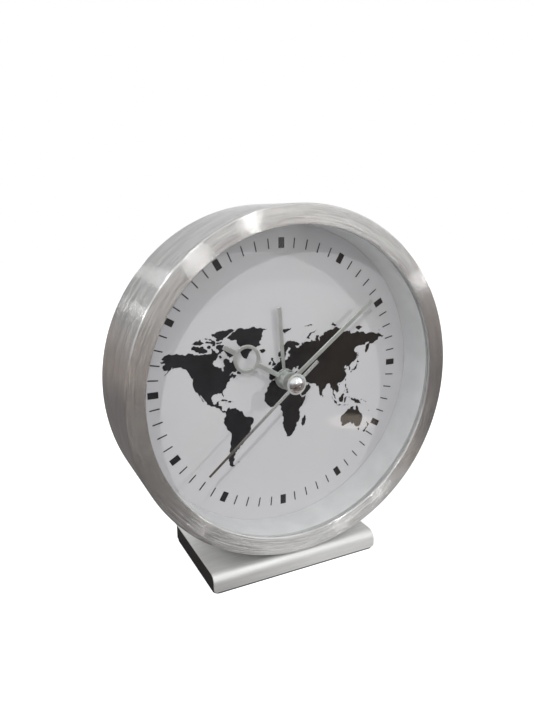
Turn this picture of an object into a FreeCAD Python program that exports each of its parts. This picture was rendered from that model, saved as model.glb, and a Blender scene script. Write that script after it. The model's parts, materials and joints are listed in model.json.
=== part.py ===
"""Round table alarm clock with a world map dial.

A brushed ring case stands on a low folded foot. Four hands turn over the dial. A flat battery
movement fills the case behind the dial, and its knobs, switch and battery door come out through the
back cover.

Millimetres. +Z is up and the dial faces -Y. The origin is the centre of the foot's underside. Pieces
of the clock are built about the dial: x to the right, y backwards from the dial's face, z up from the
hands' axis. A last step moves them to the part's own origin.
"""
import FreeCAD
import Part
import math
import os

Vector = FreeCAD.Vector
BACKWARDS = Vector(0, 1, 0)
UPWARDS = Vector(0, 0, 1)
RIGHTWARDS = Vector(1, 0, 0)
FULL_TURN = 360.0

# Fits and cutting
fit_gap = 0.02
running_gap = 0.05
free_gap = 0.3
overrun = 1.0

# Case ring, from the dial's face
case_diameter = 120.0
case_front = 15.7
case_back = 15.9
case_wall = 2.0
bezel_width = 6.6
bezel_thickness = 1.2
bezel_edge_round = 0.5

# Crystal and the white inner wall
crystal_thickness = 1.8
gasket_width = 1.6
rehaut_lip = 0.4
rehaut_wall = 1.4
rehaut_flange = 1.2

# Dial and its print
dial_thickness = 0.8
dial_hole_radius = 3.1
print_thickness = 0.05
marker_inset = 6.67
hour_block_width = 2.2
hour_block_length = 3.6
minute_line_width = 0.25
minute_line_length = 3.5
MINUTE_MARKS = 60
MINUTES_PER_HOUR_MARK = 5

# World map: globe radius and the equator's drop below the hands' axis, as shares of the dial's radius,
# the projection's two stretches, and the longitude on the axis
map_radius_share = 0.37
map_drop_share = 0.2203
map_width_share = 0.7071
map_rise_share = 1.75
MAP_MIDDLE_ANGLE = 11.8

# Dial carrier: plate, rim, screw pillars and the block that the foot's screws enter
carrier_plate = 2.0
carrier_rim_wall = 1.6
pillar_inset = 10.0
pillar_radius = 3.0
pillar_hole_depth = 7.0
foot_block_width = 12.0
foot_block_height = 7.5
COVER_SCREW_ANGLES = (60.0, 120.0, 240.0, 300.0)

# Back cover
cover_thickness = 1.5
cover_recess = 0.8

# Screws
screw_radius = 0.9
screw_head_radius = 1.9
screw_head_height = 1.1
screw_slot_width = 0.45
screw_slot_depth = 0.5
screw_grip = 5.0
ear_screw_grip = 1.6
foot_screw_radius = 1.25
foot_screw_head_radius = 2.3
foot_screw_head_height = 1.6
foot_screw_spacing = 6.0
foot_screw_grip = 6.0

# Foot
foot_width = 64.4
foot_depth = 40.5
foot_height = 6.8
foot_sheet = 0.6
foot_bend_radius = 3.2
foot_corner_radius = 1.0
foot_pad_thickness = 0.6
foot_pad_inset = 0.7
foot_core_inset = 0.25
foot_lead = 0.8
case_side_offset = 2.4

# Movement case
movement_size = 56.0
movement_corner = 3.0
movement_wall = 1.2
movement_front_gap = 0.2
movement_depth = 15.0
movement_split = 6.0
bush_radius = 3.0
bush_stand = 0.6
ear_radius = 3.0
ear_reach = 3.4
ear_height = 20.0
ear_thickness = 1.2

# Concentric tubes, from the inside outwards
second_arbor_radius = 0.4
minute_tube_radius = 1.0
hour_tube_radius = 1.7
alarm_tube_radius = 2.4

# Levels of the wheels, as the front face of each, behind the movement's inner face
wheel_thickness = 0.7
thin_wheel = 0.5
alarm_level = 0.3
hour_level = 1.4
cannon_level = 2.5
centre_level = 3.6
third_level = 4.5
middle_plate_level = 5.4
middle_plate_thickness = 0.8
second_level = 6.6
intermediate_level = 7.5
magnet_level = 8.3
magnet_thickness = 1.8
magnet_radius = 2.0

# Teeth
CANNON_TEETH = 12
MINUTE_WHEEL_TEETH = 36
MINUTE_PINION_TEETH = 10
HOUR_TEETH = 40
CENTRE_TEETH = 70
THIRD_PINION_TEETH = 7
THIRD_TEETH = 66
SECOND_PINION_TEETH = 11
SECOND_TEETH = 60
INTERMEDIATE_PINION_TEETH = 10
INTERMEDIATE_TEETH = 30
ROTOR_PINION_TEETH = 6
ALARM_TEETH = 48
ALARM_SET_TEETH = 24
setting_axis_distance = 9.0
third_module = 0.22
second_module = 0.2
rotor_module = 0.25
wheel_tooth_shares = {"addendum": 0.8, "dedendum": 1.2, "root": 0.55, "pitch": 0.42, "tip": 0.2}
pinion_tooth_shares = {"addendum": 0.6, "dedendum": 1.15, "root": 0.4, "pitch": 0.38, "tip": 0.24}
INTERMEDIATE_BEARING = 60.0
ROTOR_BEARING = 90.0

# Arbors and bearings
setting_shaft_radius = 0.8
thin_arbor_radius = 0.25
intermediate_arbor_radius = 0.3
bearing_wall = 0.75
third_post_wall = 0.55
pivot_reach = 0.9
setting_pass_gap = 0.3
plate_pillar_radius = 1.3
plate_pin_radius = 0.7
plate_pillar_x = 11.0
plate_pillar_top = 12.5
plate_pillar_low = 9.6
middle_plate_half_width = 13.2
middle_plate_top = 15.4

# Stator and coil
stator_thickness = 1.0
stator_level = 8.7
stator_bar_width = 5.8
stator_hole_radius = 2.3
stator_leg_width = 3.5
stator_left = 9.0
stator_right = 16.0
coil_height = 20.0
coil_core_width = 2.6
coil_core_thickness = 1.0
bobbin_flange_radius = 3.6
bobbin_flange_thickness = 0.8
bobbin_tube_radius = 1.9
winding_radius = 3.1
stator_post_radius = 1.3
stator_post_height = 10.0

# Circuit board and what is on it
board_thickness = 0.8
board_level = 10.2
board_right = 11.2
board_low = 10.3
board_high = 25.0
board_post_radius = 1.2
chip_radius = 3.0
chip_height = 1.1
chip_x = -19.0
chip_z = 6.0
quartz_radius = 1.0
quartz_length = 6.0
quartz_x = -23.5
quartz_z = -6.0
buzzer_radius = 6.0
buzzer_thickness = 5.5
buzzer_x = 19.5
buzzer_z = -2.0
SOUND_SLOTS = 5
sound_slot_length = 8.0
sound_slot_width = 0.9
sound_slot_pitch = 1.7

# Battery, contacts and door
battery_radius = 7.1
battery_length = 50.0
battery_button_radius = 2.6
battery_button_length = 1.0
battery_end_ring = 0.6
battery_height = -19.4
battery_front_gap = 0.6
bay_partition_top = -11.1
bay_partition = 1.0
bay_opening_half_width = 25.6
bay_opening_low = -25.4
bay_opening_high = -12.6
contact_sheet = 0.4
contact_half_height = 5.0
contact_low = 3.0
contact_tongue_top = 13.5
door_thickness = 1.2
door_gap = 0.15
door_half_width = 26.4
door_hinge_half_width = 23.4
door_wide_low = -25.7
door_top = -12.0
door_pin_radius = 0.5
door_barrel_radius = 0.7
door_axis_height = -27.0
door_lug_width = 1.2
door_lug_wall = 0.45
door_tongue_half_width = 3.0
door_tongue_thickness = 0.8
DOOR_RIBS = 4
door_rib_width = 0.6
door_rib_pitch = 1.3
door_rib_height = 0.3
door_rib_half_length = 5.0

# Knobs and switch on the back
time_knob_radius = 6.5
alarm_knob_radius = 5.5
knob_thickness = 3.0
knob_gap = 0.5
knob_flute_radius = 0.45
knob_dish_depth = 0.6
knob_rim = 1.3
knob_bore_end = 1.0
KNOB_FLUTES = 30
switch_x = -16.0
switch_z = 20.0
switch_travel = 4.0
switch_stem_length = 3.0
switch_stem_height = 2.0
switch_thumb_size = 4.4
switch_thumb_thickness = 1.5
switch_groove = 0.5
switch_flange_size = 4.2
switch_flange_thickness = 0.7

# Hands: front face ahead of the dial, reach from the axis, and angle clockwise from twelve
hand_sheet = 0.35
second_sheet = 0.25
alarm_hand_stand = 2.0
hour_hand_stand = 3.5
minute_hand_stand = 7.2
second_hand_stand = 9.7
alarm_reach = 25.5
alarm_hub_radius = 3.6
alarm_root_width = 1.2
alarm_tip_width = 1.7
hour_reach = 27.5
hour_width = 1.7
hour_hub_radius = 3.6
hour_ring_middle = 17.2
hour_ring_outer = 4.8
hour_ring_inner = 3.5
hour_collar_radius = 2.7
hour_collar_length = 0.8
minute_reach = 42.1
minute_width = 1.6
minute_hub_radius = 3.3
minute_hub_length = 2.6
second_reach = 42.1
second_root_width = 1.25
second_tip_width = 0.65
second_tail = 11.0
second_hub_radius = 1.9
second_collar_length = 1.0
cap_rim_radius = 3.45
cap_rim_thickness = 0.35
cap_dome_radius = 2.4
cap_dome_height = 1.6
ALARM_ANGLE = 355.5
HOUR_ANGLE = 301.0
MINUTE_ANGLE = 51.6
SECOND_ANGLE = 230.3

# Worked out from the sizes above
case_radius = case_diameter / 2
case_inner_radius = case_radius - case_wall
bezel_opening_radius = case_radius - bezel_width
bezel_back = bezel_thickness - case_front
rehaut_radius = bezel_opening_radius + rehaut_lip
marker_middle_radius = rehaut_radius - marker_inset
pillar_ring_radius = case_inner_radius - pillar_inset
crystal_radius = case_inner_radius - gasket_width
crystal_back = bezel_back + crystal_thickness
inner_fit_radius = case_inner_radius - running_gap
carrier_back = dial_thickness + carrier_plate
cover_back = case_back - cover_recess
cover_front = cover_back - cover_thickness
movement_front = dial_thickness + movement_front_gap
movement_back = movement_front + movement_depth
inner_front = movement_front + movement_wall
inner_back = movement_back - movement_wall
movement_joint = movement_front + movement_split
movement_half = movement_size / 2
inner_half = movement_half - movement_wall
board_left = inner_half - contact_sheet - 2 * fit_gap
axis_height = foot_height + case_radius
dial_place = foot_lead + case_front - foot_depth / 2
clock_place = Vector(case_side_offset, dial_place, axis_height)

cannon_module = 2 * setting_axis_distance / (CANNON_TEETH + MINUTE_WHEEL_TEETH)
hour_module = 2 * setting_axis_distance / (MINUTE_PINION_TEETH + HOUR_TEETH)
alarm_module = 2 * setting_axis_distance / (ALARM_TEETH + ALARM_SET_TEETH)
third_distance = third_module * (CENTRE_TEETH + THIRD_PINION_TEETH) / 2
intermediate_distance = second_module * (SECOND_TEETH + INTERMEDIATE_PINION_TEETH) / 2
rotor_distance = rotor_module * (INTERMEDIATE_TEETH + ROTOR_PINION_TEETH) / 2


def polar(distance, bearing, start=(0, 0)):
    """Place at a distance and an angle from the x axis, seen from the front."""
    turn = math.radians(bearing)
    return (start[0] + distance * math.cos(turn), start[1] + distance * math.sin(turn))


CENTRE = (0, 0)
time_axis = (-setting_axis_distance, 0)
alarm_axis = (setting_axis_distance, 0)
third_axis = (0, third_distance)
intermediate_axis = polar(intermediate_distance, INTERMEDIATE_BEARING)
rotor_axis = polar(rotor_distance, ROTOR_BEARING, intermediate_axis)
plate_pillars = (
    (-plate_pillar_x, plate_pillar_top),
    (plate_pillar_x, plate_pillar_top),
    (0, -plate_pillar_low),
)
stator_posts = (
    (stator_leg_width / 2 - stator_left, stator_post_height),
    (stator_right - stator_leg_width / 2, stator_post_height),
)
board_posts = (
    (board_post_radius * 2 - board_left, board_high - board_post_radius * 2),
    (-board_right - board_post_radius * 2, board_post_radius * 2 - board_low),
)
battery_y = movement_front + battery_front_gap + battery_radius
door_axis_y = movement_back + door_gap + door_barrel_radius


def disc(radius, front, back, place=CENTRE):
    """Cylinder along the depth axis."""
    return Part.makeCylinder(radius, back - front, Vector(place[0], front, place[1]), BACKWARDS)


def ring(outer, inner, front, back, place=CENTRE):
    """Disc with a round hole through it."""
    return disc(outer, front, back, place).cut(disc(inner, front - overrun, back + overrun, place))


def block(left, right, front, back, low, high):
    """Box between six planes."""
    return Part.makeBox(right - left, back - front, high - low, Vector(left, front, low))


def plate(points, front, back):
    """Flat plate from an outline of (x, z) points."""
    corners = [Vector(x, front, z) for x, z in points]
    return Part.Face(Part.makePolygon(corners + corners[:1])).extrude(BACKWARDS * (back - front))


def turned(profile):
    """Solid of revolution about the hands' axis from (radius, y) points."""
    corners = [Vector(radius, y, 0) for radius, y in profile]
    face = Part.Face(Part.makePolygon(corners + corners[:1]))
    return face.revolve(Vector(0, 0, 0), BACKWARDS, FULL_TURN)


def square(half, corner, front, back):
    """Square plate about the axis with rounded corners."""
    body = block(-half, half, front, back, -half, half)
    upright = [
        edge for edge in body.Edges
        if abs(edge.tangentAt(edge.FirstParameter).y) > math.cos(math.pi / 4)
    ]
    return body.makeFillet(corner, upright)


def clockwise(shape, angle):
    """Turn about the hands' axis, clockwise as seen from the front."""
    turned_shape = shape.copy()
    turned_shape.rotate(Vector(0, 0, 0), BACKWARDS, angle)
    return turned_shape


def cap_sphere_radius(radius, height):
    """Radius of the sphere whose cap has this radius and height."""
    return (radius ** 2 + height ** 2) / (2 * height)


def gear(teeth, module, shares, front, back, place=CENTRE, phase=0.0):
    """Toothed disc. The phase is the angle of one tooth from the x axis, in radians."""
    pitch_radius = teeth * module / 2
    root_radius = pitch_radius - shares["dedendum"] * module
    tip_radius = pitch_radius + shares["addendum"] * module
    pitch_angle = 2 * math.pi / teeth
    flank = ((root_radius, shares["root"]), (pitch_radius, shares["pitch"]), (tip_radius, shares["tip"]))
    outline = []
    for tooth in range(teeth):
        middle = phase + tooth * pitch_angle
        rising = [(radius, middle - share * pitch_angle / 2) for radius, share in flank]
        falling = [(radius, middle + share * pitch_angle / 2) for radius, share in reversed(flank)]
        for radius, turn in rising + falling:
            outline.append((place[0] + radius * math.cos(turn), place[1] + radius * math.sin(turn)))
    return plate(outline, front, back)


def mesh_phase(teeth, phase, start, other_teeth, end):
    """Phase that puts a gap of the second gear on the first gear's tooth, for gears at start and end."""
    bearing = math.atan2(end[1] - start[1], end[0] - start[0])
    gap = math.pi / other_teeth
    return bearing + math.pi + gap - (phase - bearing) * teeth / other_teeth


# Case, crystal and inner wall

def case_ring():
    """Tube with an inward front flange, which is the bezel."""
    tube = turned((
        (bezel_opening_radius, -case_front),
        (case_radius, -case_front),
        (case_radius, case_back),
        (case_inner_radius, case_back),
        (case_inner_radius, bezel_back),
        (bezel_opening_radius, bezel_back),
    ))
    rims = [edge for edge in tube.Edges if is_front_rim(edge)]
    tube = tube.makeFillet(bezel_edge_round, rims)
    hole_radius = foot_screw_radius + running_gap
    for y in foot_screw_places():
        tube = tube.cut(upright_hole(hole_radius, y, -case_radius - overrun, overrun - case_inner_radius))
    return tube


def is_front_rim(edge):
    """Whether an edge is the outer or inner circle of the bezel's front face."""
    box = edge.BoundBox
    near = abs(box.YMin + case_front) < fit_gap and abs(box.YMax + case_front) < fit_gap
    return near and isinstance(edge.Curve, Part.Circle)


def foot_screw_places():
    """Depth of each foot screw, behind the dial's face."""
    middle = (carrier_back + cover_front) / 2
    return (middle - foot_screw_spacing / 2, middle + foot_screw_spacing / 2)


def upright_hole(radius, y, low, high):
    """Cylinder along z under the hands' axis."""
    return Part.makeCylinder(radius, high - low, Vector(0, y, low), UPWARDS)


def crystal():
    """Flat glass behind the bezel."""
    return disc(crystal_radius, bezel_back, crystal_back)


def crystal_gasket():
    """Seal between the glass and the case."""
    return ring(case_inner_radius - fit_gap, crystal_radius + fit_gap, bezel_back, crystal_back)


def rehaut_ring():
    """White wall from the glass to the dial, with a flange behind the glass."""
    wall_radius = rehaut_radius + rehaut_wall
    return turned((
        (rehaut_radius, crystal_back),
        (inner_fit_radius, crystal_back),
        (inner_fit_radius, crystal_back + rehaut_flange),
        (wall_radius, crystal_back + rehaut_flange),
        (wall_radius, -rehaut_flange),
        (inner_fit_radius, -rehaut_flange),
        (inner_fit_radius, 0),
        (rehaut_radius, 0),
    ))


# Dial and its print

def dial_plate():
    """Painted metal dial."""
    return ring(inner_fit_radius, dial_hole_radius, 0, dial_thickness)


def marker(width, length):
    """Mark at twelve."""
    low = marker_middle_radius - length / 2
    return block(-width / 2, width / 2, -print_thickness, 0, low, low + length)


def dial_markers():
    """Blocks at the hours and thin lines at the other minutes."""
    hour_mark = marker(hour_block_width, hour_block_length)
    minute_mark = marker(minute_line_width, minute_line_length)
    marks = []
    for minute in range(MINUTE_MARKS):
        mark = minute_mark if minute % MINUTES_PER_HOUR_MARK else hour_mark
        marks.append(clockwise(mark, minute * FULL_TURN / MINUTE_MARKS))
    return Part.makeCompound(marks)


def map_point(longitude, latitude):
    """Place of a point of the globe on the dial, in a cylinder projection."""
    globe_radius = rehaut_radius * map_radius_share
    x = globe_radius * map_width_share * math.radians(longitude - MAP_MIDDLE_ANGLE)
    z = globe_radius * map_rise_share * math.tan(math.radians(latitude) / 2)
    return (x, z - rehaut_radius * map_drop_share)


AMERICAS = (
    (-168, 66), (-162, 66.7), (-166, 68.3), (-163, 69.8), (-156, 71.3), (-150, 70.4), (-141, 69.7),
    (-135, 69), (-128, 70.2), (-123, 69.6), (-115, 67.9), (-108, 67.8), (-101, 67.8), (-96, 68),
    (-96, 71.8), (-92.5, 70), (-90, 68.4), (-87, 67.7), (-85, 69.6), (-81.5, 69), (-82, 67),
    (-86.5, 66.3), (-88, 64), (-93, 62), (-95, 59.5), (-92.5, 57.5), (-88, 56.5), (-82.3, 55.2),
    (-82, 53), (-80, 51.3), (-78.8, 52.5), (-79.6, 54.7), (-76.7, 56.5), (-78.5, 59), (-77.5, 62.3),
    (-73.5, 62.2), (-70, 61), (-69.5, 59), (-66.5, 58.7), (-64.5, 60.3), (-62, 57.7), (-60, 55),
    (-56, 53), (-56.5, 51.5), (-60, 50.2), (-66.5, 50.2), (-69.5, 48.2), (-71, 46.8), (-65, 48.9),
    (-64.8, 47), (-60.3, 46.3), (-65.7, 43.6), (-65, 45.3), (-67.3, 44.7), (-70.5, 43.2), (-70, 41.6),
    (-74, 40.6), (-76, 37), (-75.7, 35.3), (-78, 33.9), (-81.3, 31.3), (-80, 27), (-80.6, 25.2),
    (-82.5, 27.5), (-83.2, 29.7), (-85.3, 29.8), (-88.5, 30.4), (-89.7, 29.1), (-94.5, 29.5),
    (-97.3, 27.7), (-97.7, 22.3), (-96, 19.2), (-94.5, 18.2), (-91.3, 18.6), (-90.3, 21), (-86.9, 21.4),
    (-88.3, 16.5), (-83.3, 15.2), (-83.7, 11), (-81.8, 9), (-79.5, 9.6), (-76.7, 8.4), (-75, 11),
    (-71.7, 12.3), (-71.3, 10), (-68.2, 10.8), (-62, 10.6), (-60, 8.4), (-56.5, 5.9), (-52, 4.7),
    (-50, 0.5), (-44, -2.7), (-39, -3.2), (-35.3, -5.4), (-34.9, -8.3), (-38.7, -13), (-39.2, -18),
    (-41.7, -22.4), (-46.5, -24.2), (-48.6, -27), (-52.5, -33.2), (-54.5, -34.9), (-58, -34),
    (-57, -36.5), (-58.5, -38.5), (-62, -39), (-62.5, -41), (-65, -41), (-64, -42.7), (-67.4, -45.8),
    (-65.9, -47.8), (-69, -50.7), (-68.4, -52.4), (-65.3, -54.8), (-70.5, -55.3), (-74.5, -52.5),
    (-75.6, -48.5), (-73.3, -44), (-73.6, -38.5), (-71.5, -32), (-70.4, -24), (-70.4, -18.3),
    (-76.2, -14), (-79.6, -7.5), (-81.3, -4.8), (-80, -2.6), (-80.7, -0.7), (-78.7, 1.7), (-77.2, 4),
    (-77.8, 7.2), (-80.2, 7.4), (-83, 8.2), (-85.8, 10.5), (-87.6, 13), (-92.2, 14.5), (-94.6, 16.2),
    (-99.5, 16.8), (-105.3, 19.7), (-105.6, 22.3), (-109.3, 25.8), (-112.4, 29.3), (-114.7, 31.7),
    (-114.6, 30), (-111.4, 26.3), (-109.5, 23), (-112.2, 24.8), (-115.3, 29.2), (-117.1, 32.5),
    (-120.6, 34.5), (-122.5, 37.6), (-124.3, 40.4), (-124, 46), (-124.5, 48.3), (-122.7, 48.6),
    (-127.6, 51.4), (-130.5, 54.6), (-134, 58), (-139.3, 59.7), (-144, 60.1), (-148.5, 60.3),
    (-151.8, 59.3), (-151.3, 61), (-154, 59), (-158, 56.5), (-163.5, 54.7), (-160.5, 56.2),
    (-157.5, 58.5), (-162, 58.7), (-165.3, 61), (-164, 63.2), (-161, 64.4), (-166.2, 64.5),
)
OLD_WORLD = (
    (25.7, 71), (31, 70.3), (33.5, 69.2), (41, 67.3), (38.5, 66.1), (32.8, 67), (34.7, 64.6), (38, 64),
    (40.2, 64.8), (40, 65.9), (43.8, 66.2), (44, 68.4), (46.5, 68), (46, 66.8), (53.5, 68.6),
    (59.5, 68.5), (61, 69.6), (68, 68.3), (66.8, 70), (68.5, 72.8), (72.8, 72.7), (71.7, 70),
    (73.7, 68.3), (71.3, 66.3), (74.6, 68), (74.3, 71.5), (80.5, 72.2), (81, 73.7), (87, 75),
    (98, 76.3), (104, 77.6), (113.5, 76), (107, 73.5), (118, 73.1), (127, 73.4), (129, 71), (137, 71.5),
    (140, 72.5), (150, 71.4), (160, 69.7), (170.5, 69.8), (180, 69), (190, 66.1), (187, 64.4),
    (181, 65.5), (179, 62.5), (174, 61.7), (170, 60), (164, 60), (163, 57.8), (161.8, 55), (160, 53),
    (156.7, 51), (155.6, 54), (156.7, 57.6), (163.3, 61.6), (157, 61.6), (154.5, 59.5), (149, 59.6),
    (142.5, 59.2), (135.4, 54.8), (141, 53), (140.3, 48.5), (135.5, 43.9), (131, 42.8), (127.5, 39.7),
    (129.4, 36.8), (129, 35.2), (126.4, 34.5), (126.7, 37.3), (125, 39.6), (121.4, 38.8), (121.7, 40.8),
    (117.8, 39), (119.3, 37.3), (122.5, 37.1), (119.3, 35), (121.8, 31.7), (121.7, 28.5), (119.3, 25.3),
    (116, 22.8), (110.5, 21.2), (108, 21.6), (105.8, 19), (109, 15.3), (109.2, 11.8), (105, 8.6),
    (104.8, 10.3), (102.4, 12), (100.8, 13.5), (99.3, 10), (102.2, 6.3), (104.2, 1.4), (101.2, 2.8),
    (100.3, 6), (98.3, 8), (98.7, 12), (97.2, 16.8), (94.4, 16), (94, 18.8), (91.7, 22.6), (87, 21.4),
    (82.3, 16.6), (80.2, 15.5), (79.8, 10.3), (77.6, 8.1), (74.6, 13.5), (72.8, 19.5), (72.6, 21.7),
    (70.4, 20.8), (68.8, 22.6), (66.6, 25), (61.6, 25.1), (57.2, 25.8), (56.5, 27.1), (51.3, 27.9),
    (48.9, 30.3), (48, 29.7), (50.3, 26.5), (51.6, 24.3), (54.5, 24.3), (56.3, 26.2), (57, 24),
    (59.8, 22.5), (57.7, 19), (52.3, 15.7), (45, 12.8), (43.4, 12.7), (42.6, 16.7), (39.1, 21),
    (34.9, 29.4), (34.3, 27.9), (32.6, 29.8), (35.5, 24), (37.4, 21), (38.6, 18), (43.1, 12.3),
    (43.8, 10.6), (51.1, 11.9), (49.5, 6.8), (46, 2.3), (41.5, -1.8), (39.2, -5), (40.6, -11),
    (40.4, -15.3), (34.9, -19.9), (35.5, -23.9), (32.7, -26), (31.2, -29.6), (27, -33.6), (20, -34.8),
    (18.3, -33.9), (17.3, -29.5), (14.8, -25.5), (11.8, -17.5), (13.7, -11.5), (12, -5.3), (8.9, -1),
    (9.6, 3.5), (8.5, 4.7), (4.5, 6.3), (-2, 4.8), (-7.5, 4.4), (-13, 8.5), (-16.7, 12.4),
    (-17.4, 14.7), (-16.2, 19), (-17, 21.2), (-13, 27.7), (-9.7, 30), (-9.3, 32.4), (-6, 35.8),
    (-2, 35.2), (3, 36.9), (10.5, 37.2), (10.2, 34.2), (15.2, 32.4), (19.5, 30.3), (21.6, 32.9),
    (29, 30.9), (34.2, 31.4), (36, 36.6), (30.6, 36.5), (27.4, 37), (26.4, 39.5), (29, 41), (35, 42),
    (41.4, 41.4), (37.3, 44.8), (39.2, 47.1), (34.9, 46.2), (36.2, 45.3), (33.5, 44.5), (33, 46),
    (30.7, 46.4), (28, 43.4), (28.4, 41.5), (26.2, 40.7), (23.3, 40.3), (24, 38), (22.6, 36.6),
    (19.4, 40.4), (19.3, 42), (14, 45), (12.3, 45.2), (13.7, 43.4), (18.5, 40.1), (16.9, 39.7),
    (16, 38), (15.5, 40.1), (12.3, 41.6), (8.8, 44.3), (4, 43.4), (3.2, 41.9), (-0.3, 39.4), (-2, 36.8),
    (-5.5, 36.1), (-8.9, 37), (-9.4, 38.7), (-9.1, 43), (-1.7, 43.4), (-1.2, 46), (-4.7, 48.4),
    (-1.5, 48.7), (-1.8, 49.7), (1.6, 50.8), (4.6, 52.9), (8.5, 53.8), (8.1, 57), (10.6, 57.7),
    (10.1, 54.6), (14, 54), (18.7, 54.7), (21, 55.3), (21.6, 57.5), (24.3, 57.2), (23.5, 59.2),
    (29.8, 59.9), (22.9, 59.9), (21.4, 61.5), (25.3, 65), (22.2, 65.7), (17.3, 61.6), (18.7, 60),
    (16.4, 57), (14.2, 55.4), (12.8, 56.2), (11, 59), (8, 58.1), (5.2, 59.3), (5, 62), (10.5, 64.3),
    (14.5, 68), (19, 70),
)
CASPIAN_SEA = (
    (47.4, 45.5), (53, 46.9), (53.2, 45.2), (50.4, 44.5), (54.5, 41.2), (53.9, 37.2), (49.6, 37.8),
    (49.3, 40.5), (47.4, 43),
)
GREENLAND = (
    (-73, 78.2), (-66, 80.5), (-60, 82), (-45, 82.6), (-32, 83.6), (-22, 82.4), (-12, 81.4),
    (-19.5, 79), (-19, 76.5), (-21, 74), (-24.5, 72.3), (-22, 70.3), (-31.5, 68.2), (-39, 65.8),
    (-43.5, 60), (-48.3, 61), (-53.5, 66.3), (-51, 69.5), (-55, 71.5), (-58.3, 75.5), (-68, 76.1),
)
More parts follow.
